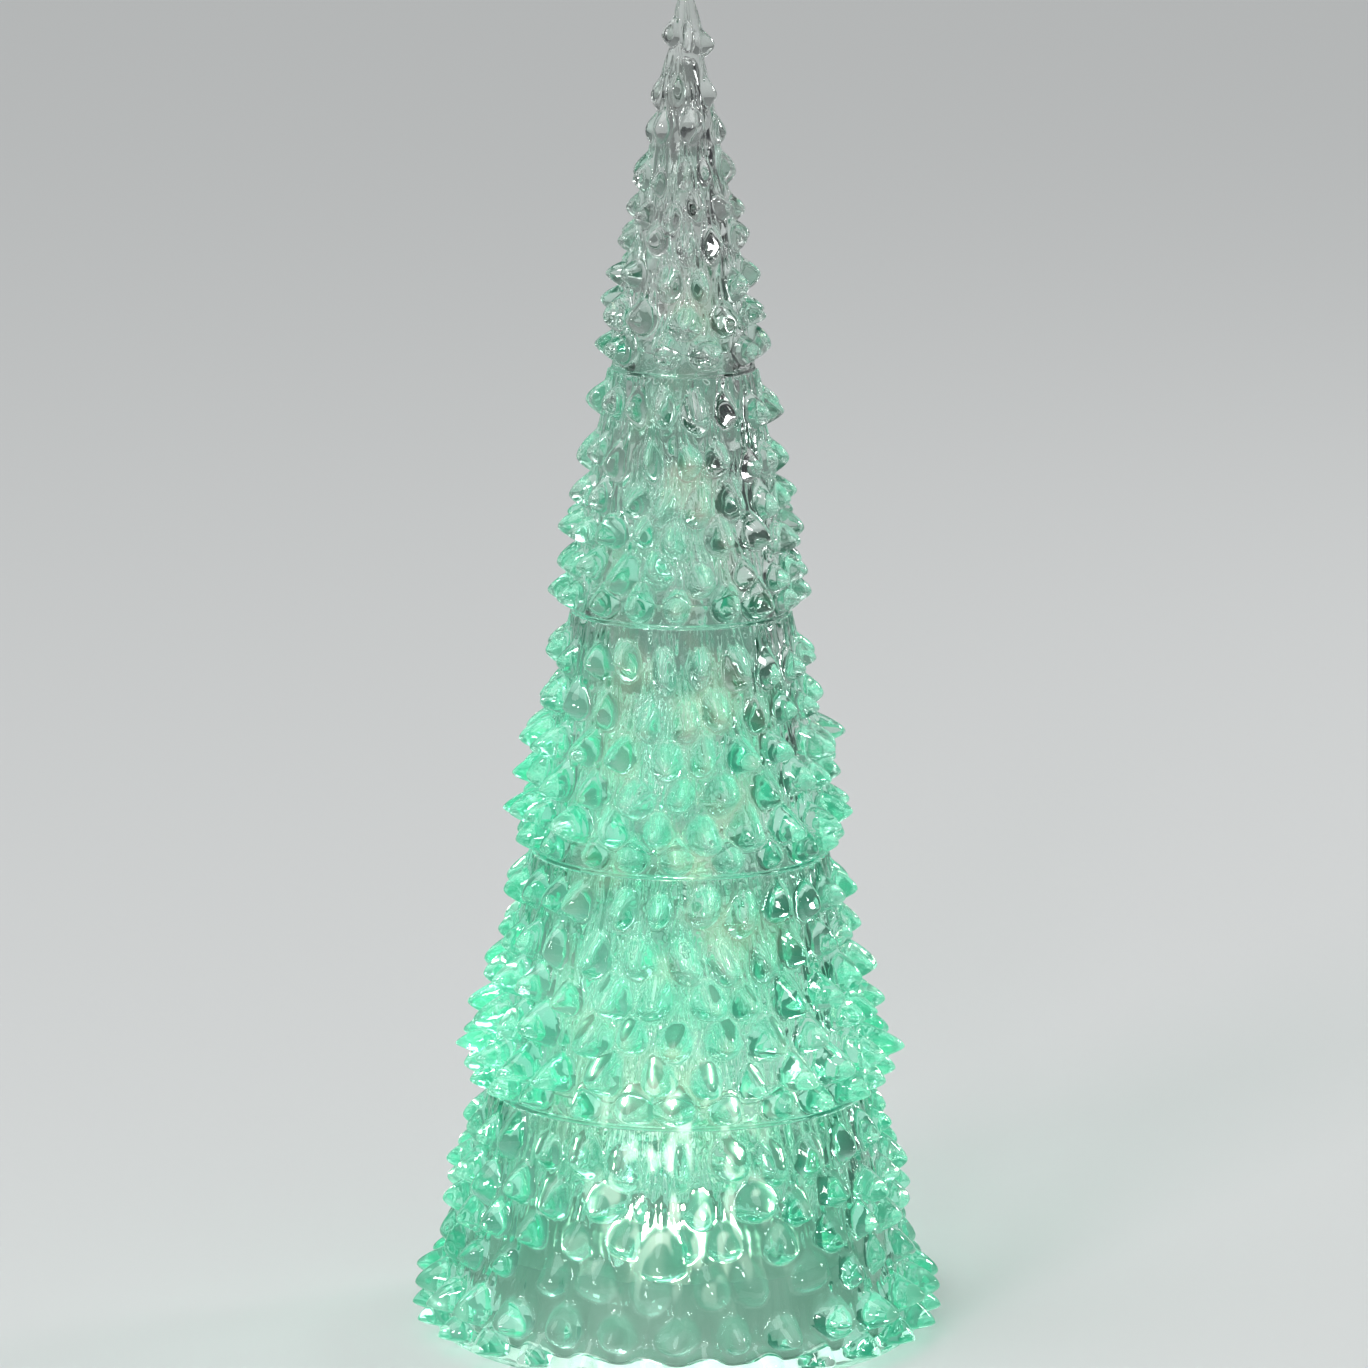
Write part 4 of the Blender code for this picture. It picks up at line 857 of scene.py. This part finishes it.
def tier_outline(number):
    """The points of a tier's outline, how many lie on its outer wall, and the height of its rim."""
    spec, foot, top = TIERS[number], seams[number], seams[number + 1]
    foot_radius, neck_radius = SEAM_RADII[number], SEAM_RADII[number + 1]
    is_top = number == len(TIERS) - 1

    def body(z):
        """The radius of the plain cone at a height."""
        return foot_radius + (neck_radius - foot_radius) * (z - foot) / (top - foot)

    bottom = foot if number == 0 else foot + RIM_GAP
    rim_top = bottom + spec["rim"]
    points = rounded_tip(top) if is_top else []
    start = top - TIP_RADIUS if is_top else top
    heights = [start + (rim_top - start) * step / spec["levels"] for step in range(spec["levels"] + 1)]
    points += [(body(z), z) for z in heights]
    wall_levels = len(points)

    soft = RIM_EDGE * RIM_ROUNDING
    rim = body(bottom) + RIM_PROUD
    points += [
        (body(rim_top) + RIM_PROUD - soft, rim_top - soft),
        (body(rim_top) + RIM_PROUD, rim_top - RIM_EDGE),
        (rim, bottom + RIM_EDGE),
        (rim - soft, bottom + soft),
        (rim - RIM_EDGE, bottom),
    ]
    socket, roof = foot_radius - SHOULDER + FIT_GAP, foot + SPIGOT_HEIGHT + FIT_GAP
    if number == 0:
        socket, roof = foot_radius - WALL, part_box("base_plate")[0].z + PLATE_THICKNESS + FIT_GAP
    points += [(socket, bottom), (socket, roof), (body(roof) - WALL, roof)]
    if is_top:
        slope = (foot_radius - neck_radius) / (top - foot)
        end = foot + (foot_radius - WALL - CAVITY_TIP) / slope
        round_in = CAVITY_TIP * CAVITY_ROUNDING
        points += [(CAVITY_TIP, end), (round_in, end + round_in), (0, end + CAVITY_TIP)]
        return points, wall_levels, rim_top
    outer = neck_radius - SHOULDER
    points += [
        (body(top - NECK_SLOPE) - WALL, top - NECK_SLOPE),
        (outer - SPIGOT_WALL, top),
        (outer - SPIGOT_WALL, top + SPIGOT_HEIGHT),
        (outer, top + SPIGOT_HEIGHT),
        (outer, top),
        (neck_radius, top),
    ]
    return points, wall_levels, rim_top


print("outline of the base tier:", len(tier_outline(0)[0]), "points")

# %% [markdown]
# Each tier starts as nothing but its outline, a chain of edges. The tree of nodes is put on it as a modifier
# and its sizes are set. The result is turned into a plain mesh, which takes the place of the plain tier.

# %% Make the tiers
TIER_SHARP_ANGLE = 70

for number, name in enumerate(names):
    spec, foot, top = TIERS[number], seams[number], seams[number + 1]
    outline, wall_levels, rim_top = tier_outline(number)
    edges = [(step, step + 1) for step in range(len(outline) - 1)]
    tier = new_object("fine_" + name, [(radius, 0, height) for radius, height in outline], edges)
    values = {
        "Columns": spec["leaves"] * spec["columns"],
        "Wall levels": wall_levels,
        "Foot": foot,
        "Top": top,
        "Foot radius": SEAM_RADII[number],
        "Neck radius": SEAM_RADII[number + 1],
        "Rim top": rim_top,
        "Leaf length": spec["length"],
        "Even rows": float(spec["even"]),
        "Seed": float(number),
        "Neck flutes": float(round(math.tau * SEAM_RADII[number + 1] / NECK_FLUTE_PITCH)),
        "Neck flute length": NECK_FLUTE_LENGTH,
        "Ring": float(number < len(TIERS) - 1),
        "Material": clear_plastic,
    }
    if number == 0:
        values.update(BIG_LOBE)
    for row, (tip_share, reach_share) in enumerate(zip(spec["tip_shares"], spec["reach_shares"])):
        sparse = name == "top_tier" and row in SPARSE_ROWS
        values[f"Row {row} tip"] = foot + (top - foot) * tip_share
        values[f"Row {row} reach"] = LEAF_REACH * reach_share
        values[f"Row {row} leaves"] = float(spec["leaves"] // 2 if sparse else spec["leaves"])
    put_modifier(tier, leafy_tier, values)
    baked(tier, TIER_SHARP_ANGLE)
    report(tier)
    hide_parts(name)
    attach(tier, "tree")

# %% [markdown]
# ## Small repeated pieces
# The feet are four soft pads, and the battery door has a row of ribs for the thumb on its latch. One tree
# of nodes serves both: it sets a copy of a piece on each of its points.

# %% The tree of copies
COPY_SHARP_ANGLE = 40

nodes, given = new_tree("copies", [
    ("Points", "Geometry", None),
    ("Piece", "Object", None),
    ("Material", "Material", None),
], [("Copies", "Geometry")])
piece = nodes.add("GeometryNodeObjectInfo", None, {"Object": given["Piece"]}, output="Geometry")
copies = nodes.add("GeometryNodeInstanceOnPoints", None, {"Points": given["Points"], "Instance": piece})
real = nodes.add("GeometryNodeRealizeInstances", None, {"Geometry": copies})
painted = nodes.add("GeometryNodeSetMaterial", None, {"Geometry": real, "Material": given["Material"]})
nodes.add("NodeGroupOutput", None, {"Copies": painted})
copies_tree = nodes.tree


def copied(name, points, piece, material):
    """One mesh with a copy of a piece at each point. The piece itself is used up."""
    obj = new_object(name, points)
    put_modifier(obj, copies_tree, {"Piece": piece, "Material": material})
    baked(obj, COPY_SHARP_ANGLE)
    bpy.data.objects.remove(piece)
    report(obj)
    return obj


print("tree of copies:", len(copies_tree.nodes), "nodes")

# %% [markdown]
# ## Plain moulded finishes
# The white parts are moulded with a fine spark-eroded grain that hides scratches, and so are the black ones.
# Rubber is duller, steel and nickel are bright, and a wire's coat is smoother. All of them are one recipe: a
# colour that varies a little, a roughness that varies a little, and a fine grain as a bump.

# %% A recipe for plain finishes
CLOUD_GRAIN = 0.012
ROUGHNESS_SPREAD = 0.2


def moulded(base, roughness, grain, depth, metallic=0.0, spread=0.06):
    """A fill for new_material, with a grain in metres and its depth."""
    def fill(nodes):
        place = object_place(nodes)
        clouds = noise(nodes, place, CLOUD_GRAIN, 2.0)
        fine = noise(nodes, place, grain, 2.0)
        dark = tuple(value * (1 - spread) for value in base[:3]) + (1,)
        pale = tuple(min(value * (1 + spread), 1) for value in base[:3]) + (1,)
        return nodes.add("ShaderNodeBsdfPrincipled", None, {
            "Base Color": blend(nodes, dark, pale, clouds),
            "Roughness": clamped(roughness + (fine - 0.5) * ROUGHNESS_SPREAD),
            "Metallic": metallic,
            "Normal": bumped(nodes, fine, depth),
        })
    return fill


PLAIN_FINISHES = {
    "white_plastic": moulded(colour(229, 231, 228), 0.5, 0.0004, 0.00006, spread=0.03),
    "black_plastic": moulded(colour(42, 42, 43), 0.45, 0.0003, 0.00005),
    "foot_rubber": moulded(colour(178, 181, 178), 0.82, 0.0002, 0.00004),
    "screw_steel": moulded(colour(206, 207, 203), 0.3, 0.0006, 0.00002, metallic=1.0),
    "contact_nickel": moulded(colour(216, 212, 202), 0.24, 0.001, 0.00002, metallic=1.0),
    "resistor_ceramic": moulded(colour(66, 66, 70), 0.35, 0.0002, 0.00002),
    "wire_red": moulded(colour(188, 44, 44), 0.42, 0.0008, 0.00003),
    "wire_black": moulded(colour(38, 38, 38), 0.42, 0.0008, 0.00003),
    "wire_yellow": moulded(colour(206, 178, 58), 0.42, 0.0008, 0.00003),
}
finishes = {slot: new_material(slot.replace("_", " "), fill) for slot, fill in PLAIN_FINISHES.items()}
print("plain finishes:", ", ".join(finishes))

# %% [markdown]
# ## The milky lamp cup
# The cup is thin milky plastic over the lamps. The lamps' light in it is painted as glow: its deck has a
# painted glow, brightest round the three lamps, white in the middle and mint outside, and its wall a dull
# grey-green painted glow, which shows through the clear skirt. A shader that scatters light inside would need
# far more rays, so the glow is painted as light by the distance from the middle.

# %% Milky plastic and the lamps' lenses
DECK_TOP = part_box("lamp_housing")[1].z
DECK_DEPTH = 0.0006
DECK_SOFTNESS = 0.0005
GLOW_RADIUS = 0.042
WHITE_HOT = (1.0, 0.86, 0.72, 1)
CUP_BASE = colour(112, 126, 119)
PAINTED_WALL_GLOW = colour(130, 180, 158)
PAINTED_DECK_GLOW_MINT = colour(110, 232, 190)
WALL_GLOW = 0.025
WALL_CLOUDS = 0.03
DECK_RIM_GLOW = 0.015
DECK_MIDDLE_GLOW = 0.98
CUP_CLOUD_GRAIN = 0.01
CUP_GRAIN = 0.0004
CUP_GRAIN_DEPTH = 0.00005
CUP_GRAIN_STRENGTH = 0.4
CUP_ROUGHNESS = 0.48
CUP_PAINTED_GLOW_STRENGTH = 2.2
LENS_COLOUR = colour(200, 240, 225)
LENS_FLANGE = colour(60, 150, 120)
LENS_LEAST = 0.3
LENS_ROUGHNESS = 0.12
LENS_STRENGTH = 25.0


def milky_surface(nodes):
    """Milky plastic with a painted glow of the lamps' light, bright on its deck round the lamps and dull on
    its wall.
    """
    place = object_place(nodes)
    x, y, z = split(place)
    far = maths("SQRT", x * x + y * y)
    near = eased(1 - far / GLOW_RADIUS)
    on_deck = eased((z - DECK_TOP + DECK_DEPTH) / DECK_SOFTNESS)
    clouds = noise(nodes, place, CUP_CLOUD_GRAIN, 2.0)
    # Painted glow of the lamps' light: bright on the deck by the distance from the middle, dull on the wall.
    deck = blend(nodes, PAINTED_DECK_GLOW_MINT, WHITE_HOT, near * near)
    wall = blend(nodes, BLACK, PAINTED_WALL_GLOW, WALL_GLOW + clouds * WALL_CLOUDS)
    lit_deck = blend(nodes, BLACK, deck, DECK_RIM_GLOW + near ** 3 * DECK_MIDDLE_GLOW)
    grain = noise(nodes, place, CUP_GRAIN, 2.0)
    return nodes.add("ShaderNodeBsdfPrincipled", None, {
        "Base Color": CUP_BASE,
        "Roughness": clamped(CUP_ROUGHNESS + (clouds - 0.5) * ROUGHNESS_SPREAD),
        "Emission Color": blend(nodes, wall, lit_deck, on_deck),
        "Emission Strength": CUP_PAINTED_GLOW_STRENGTH,
        "Normal": bumped(nodes, grain, CUP_GRAIN_DEPTH, CUP_GRAIN_STRENGTH),
    })


def lens_surface(nodes):
    """A clear lens over a lamp die: brightest at the dome, dimmer at the flange."""
    _, _, z = split(object_place(nodes))
    low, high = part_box("led_1")
    up = eased((z - low.z) / (high.z - low.z))
    return nodes.add("ShaderNodeBsdfPrincipled", None, {
        "Base Color": LENS_COLOUR,
        "Roughness": LENS_ROUGHNESS,
        "Emission Color": blend(nodes, LENS_FLANGE, WHITE_HOT, LENS_LEAST + up * (1 - LENS_LEAST)),
        "Emission Strength": LENS_STRENGTH,
    })


finishes["milky_plastic"] = new_material("milky plastic", milky_surface)
finishes["led_lens"] = new_material("led lens", lens_surface)
print("deck at", round(DECK_TOP / MM, 1), "mm")

# %% [markdown]
# ## Board and cells
# The board is green solder mask over copper: where a track runs below it, the mask is a little paler and
# stands a little higher. The cells have a plain printed wrap with a pale band near each end and bare nickel
# caps. Both patterns follow the place on the piece.

# %% Board and cells
MASK_GREEN = colour(30, 92, 58)
TRACK_GREEN = colour(58, 132, 84)
TRACK_PITCH = 0.0018
TRACK_WANDER = 0.006
TRACK_CONTRAST = 3
TRACK_RISE = 0.00004
MASK_ROUGHNESS = 0.42
TRACK_POLISH = 0.1
WRAP_DARK = colour(38, 88, 72)
WRAP_GREEN = colour(48, 104, 86)
BAND_PALE = colour(206, 208, 200)
CAP_NICKEL = colour(212, 210, 202)
CELL_HALF = (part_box("battery_1")[1].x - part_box("battery_1")[0].x) / 2
CAP_WIDTH = 0.0014
BAND_PLACE_SHARE = 0.78
BAND_HALF_WIDTH = 0.0016
EDGE_SOFTNESS = 0.0001
WRAP_GRAIN = 0.008
WEAR_GRAIN = 0.0006
CELL_ROUGHNESS = 0.3
CELL_ROUGHNESS_SPREAD = 0.16


def board_surface(nodes):
    """Green solder mask with slanting tracks below it."""
    place = object_place(nodes)
    x, y, _ = split(place)
    wander = noise(nodes, place, TRACK_WANDER)
    waves = maths("SINE", (x + y + wander * TRACK_WANDER) * (math.tau / TRACK_PITCH))
    track = eased(waves * TRACK_CONTRAST)
    return nodes.add("ShaderNodeBsdfPrincipled", None, {
        "Base Color": blend(nodes, MASK_GREEN, TRACK_GREEN, track),
        "Roughness": clamped(MASK_ROUGHNESS - track * TRACK_POLISH),
        "Normal": bumped(nodes, track, TRACK_RISE),
    })


def cell_surface(nodes):
    """A printed wrap with a pale band near each end and bare caps."""
    place = object_place(nodes)
    x, _, _ = split(place)
    along = maths("ABSOLUTE", x)
    cap = clamped((along - CELL_HALF + CAP_WIDTH) / EDGE_SOFTNESS)
    from_band = maths("ABSOLUTE", along - CELL_HALF * BAND_PLACE_SHARE)
    band = clamped((BAND_HALF_WIDTH - from_band) / EDGE_SOFTNESS)
    clouds = noise(nodes, place, WRAP_GRAIN, 2.0)
    wrap = blend(nodes, blend(nodes, WRAP_DARK, WRAP_GREEN, clouds), BAND_PALE, band)
    wear = noise(nodes, place, WEAR_GRAIN, 2.0)
    return nodes.add("ShaderNodeBsdfPrincipled", None, {
        "Base Color": blend(nodes, wrap, CAP_NICKEL, cap),
        "Metallic": cap,
        "Roughness": clamped(CELL_ROUGHNESS + (wear - 0.5) * CELL_ROUGHNESS_SPREAD),
    })


finishes["board_fibreglass"] = new_material("board fibreglass", board_surface)
finishes["cell_wrap"] = new_material("cell wrap", cell_surface)
for part in frame["record"]["subparts"]:
    node = frame["nodes"][part["node"]]
    if part["material_slot"] in finishes:
        node.data.materials.clear()
        node.data.materials.append(finishes[part["material_slot"]])
print("finishes:", ", ".join(sorted(finishes)))

# %% [markdown]
# ## Feet
# A foot is a soft pad with a round shoulder, a shallow dish underneath that grips the table, and a flat top
# that is stuck to the plate. It is turned from an outline whose sizes are shares of the foot's own.

# %% Feet
FOOT_NAMES = ["foot_1", "foot_2", "foot_3", "foot_4"]
FOOT_STEPS = 40
DISH_SHARE = 0.7
DISH_FLOOR_SHARE = 0.6
DISH_DEPTH_SHARE = 0.15
SHOULDER_SHARE = 0.35
SHOULDER_STEPS = 6
TOP_EDGE_SHARE = 0.3


def turned(name, outline, steps):
    """A solid turned from an outline of (radius, height), which starts and ends on the axis."""
    ring = [
        [(r * math.cos(math.tau * k / steps), r * math.sin(math.tau * k / steps), z) for k in range(steps)]
        for r, z in outline[1:-1]
    ]
    points = [(0, 0, outline[0][1])] + [point for line in ring for point in line] + [(0, 0, outline[-1][1])]
    last = len(points) - 1
    faces = [(0, 1 + (k + 1) % steps, 1 + k) for k in range(steps)]
    for line in range(len(ring) - 1):
        start = 1 + line * steps
        for k in range(steps):
            after = (k + 1) % steps
            faces.append((start + k, start + after, start + steps + after, start + steps + k))
    start = 1 + (len(ring) - 1) * steps
    faces += [(last, start + k, start + (k + 1) % steps) for k in range(steps)]
    return new_object(name, points, (), faces)


foot_low, foot_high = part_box(FOOT_NAMES[0])
foot_radius = (foot_high.x - foot_low.x) / 2
foot_height = foot_high.z - foot_low.z
shoulder = foot_height * SHOULDER_SHARE
corners = [math.pi / 2 * step / SHOULDER_STEPS for step in range(SHOULDER_STEPS + 1)]
dish, dish_radius = foot_height * DISH_DEPTH_SHARE, foot_radius * DISH_SHARE
outline = [(0, dish), (dish_radius * DISH_FLOOR_SHARE, dish), (dish_radius, 0)]
outline += [
    (foot_radius - shoulder + shoulder * math.sin(t), shoulder - shoulder * math.cos(t)) for t in corners
]
edge = shoulder * TOP_EDGE_SHARE
outline += [(foot_radius, foot_height - edge), (foot_radius - edge, foot_height), (0, foot_height)]
foot = turned("foot piece", outline, FOOT_STEPS)
places = []
for name in FOOT_NAMES:
    low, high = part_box(name)
    places.append(((low.x + high.x) / 2, (low.y + high.y) / 2, low.z))
feet = copied("soft_feet", places, foot, finishes["foot_rubber"])
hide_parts(*FOOT_NAMES)
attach(feet, "tree")

# %% [markdown]
# ## Door grip and switch words
# The door's latch is a tongue that the thumb presses and pulls, so it has four low ribs. Beside the switch
# stand the two plain words that every such lamp has. They are low raised letters of the plate's own plastic,
# turned so that they read with the tree held upside down. The walls and the faces of a font curve's mesh are
# apart, so its doubles are merged and its faces are turned outwards.

# %% Door grip
RIB_LENGTH = 0.0076
RIB_WIDTH = 0.0009
RIB_RISE = 0.0003
RIB_PITCH = 0.0017
RIB_COUNT = 4
RIB_SINK = 0.0002
RIB_ROUNDING = 0.8
RIB_ROUNDING_STEPS = 3
RIB_FROM_EDGE = 0.0016

door_low, door_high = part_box("battery_door")
middle_y = (door_low.y + door_high.y) / 2
shape = bmesh.new()
bmesh.ops.create_cube(shape, size=1)
bmesh.ops.scale(shape, vec=(RIB_WIDTH, RIB_LENGTH, RIB_RISE + RIB_SINK), verts=shape.verts)
under = [edge for edge in shape.edges if all(vertex.co.z < 0 for vertex in edge.verts)]
rounding = RIB_RISE * RIB_ROUNDING
bmesh.ops.bevel(shape, geom=under, offset=rounding, segments=RIB_ROUNDING_STEPS, affect="EDGES")
mesh = bpy.data.meshes.new("rib piece")
shape.to_mesh(mesh)
shape.free()
rib = shown("rib piece", mesh)
rib_z = door_low.z - (RIB_RISE - RIB_SINK) / 2
places = [(door_high.x - RIB_FROM_EDGE - RIB_PITCH * k, middle_y, rib_z) for k in range(RIB_COUNT)]
grip = copied("door_grip", places, rib, finishes["white_plastic"])
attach(grip, "door")

# %% Switch words
WORD_HEIGHT = 0.0032
WORD_RISE = 0.0004
WORD_FROM_SWITCH = 0.0085
WORD_MERGE = 0.000001
WORDS = {"ON": -1, "OFF": 1}

switch_low, switch_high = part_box("switch_body")
switch_middle = (switch_low + switch_high) / 2
plate_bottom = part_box("base_plate")[0].z
for word, side in WORDS.items():
    letters = bpy.data.curves.new("word " + word, "FONT")
    letters.body = word
    letters.size = WORD_HEIGHT
    letters.align_x = "CENTER"
    letters.align_y = "CENTER"
    letters.extrude = WORD_RISE
    draft = shown("word draft", letters)
    graph = bpy.context.evaluated_depsgraph_get()
    mesh = bpy.data.meshes.new_from_object(draft.evaluated_get(graph))
    bpy.data.objects.remove(draft)
    place = Vector((switch_middle.x + side * WORD_FROM_SWITCH, switch_middle.y, plate_bottom))
    mesh.transform(Matrix.Translation(place) @ Matrix.Rotation(math.pi, 4, "Y"))
    shape = bmesh.new()
    shape.from_mesh(mesh)
    bmesh.ops.remove_doubles(shape, verts=shape.verts, dist=WORD_MERGE)
    bmesh.ops.recalc_face_normals(shape, faces=shape.faces)
    shape.to_mesh(mesh)
    shape.free()
    mesh.materials.clear()
    mesh.materials.append(finishes["white_plastic"])
    words = shown("switch_word_" + word.lower(), mesh)
    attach(words, "tree")
    report(words)

# %% [markdown]
# ## Sizes and finish
# The box of the dressed tree is printed in millimetres. The dressed tree has to stay
# within the box of the construction.

# %% Sizes and finish
low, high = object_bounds()
print("visual box:", [round(side / MM, 2) for side in high - low], "mm")
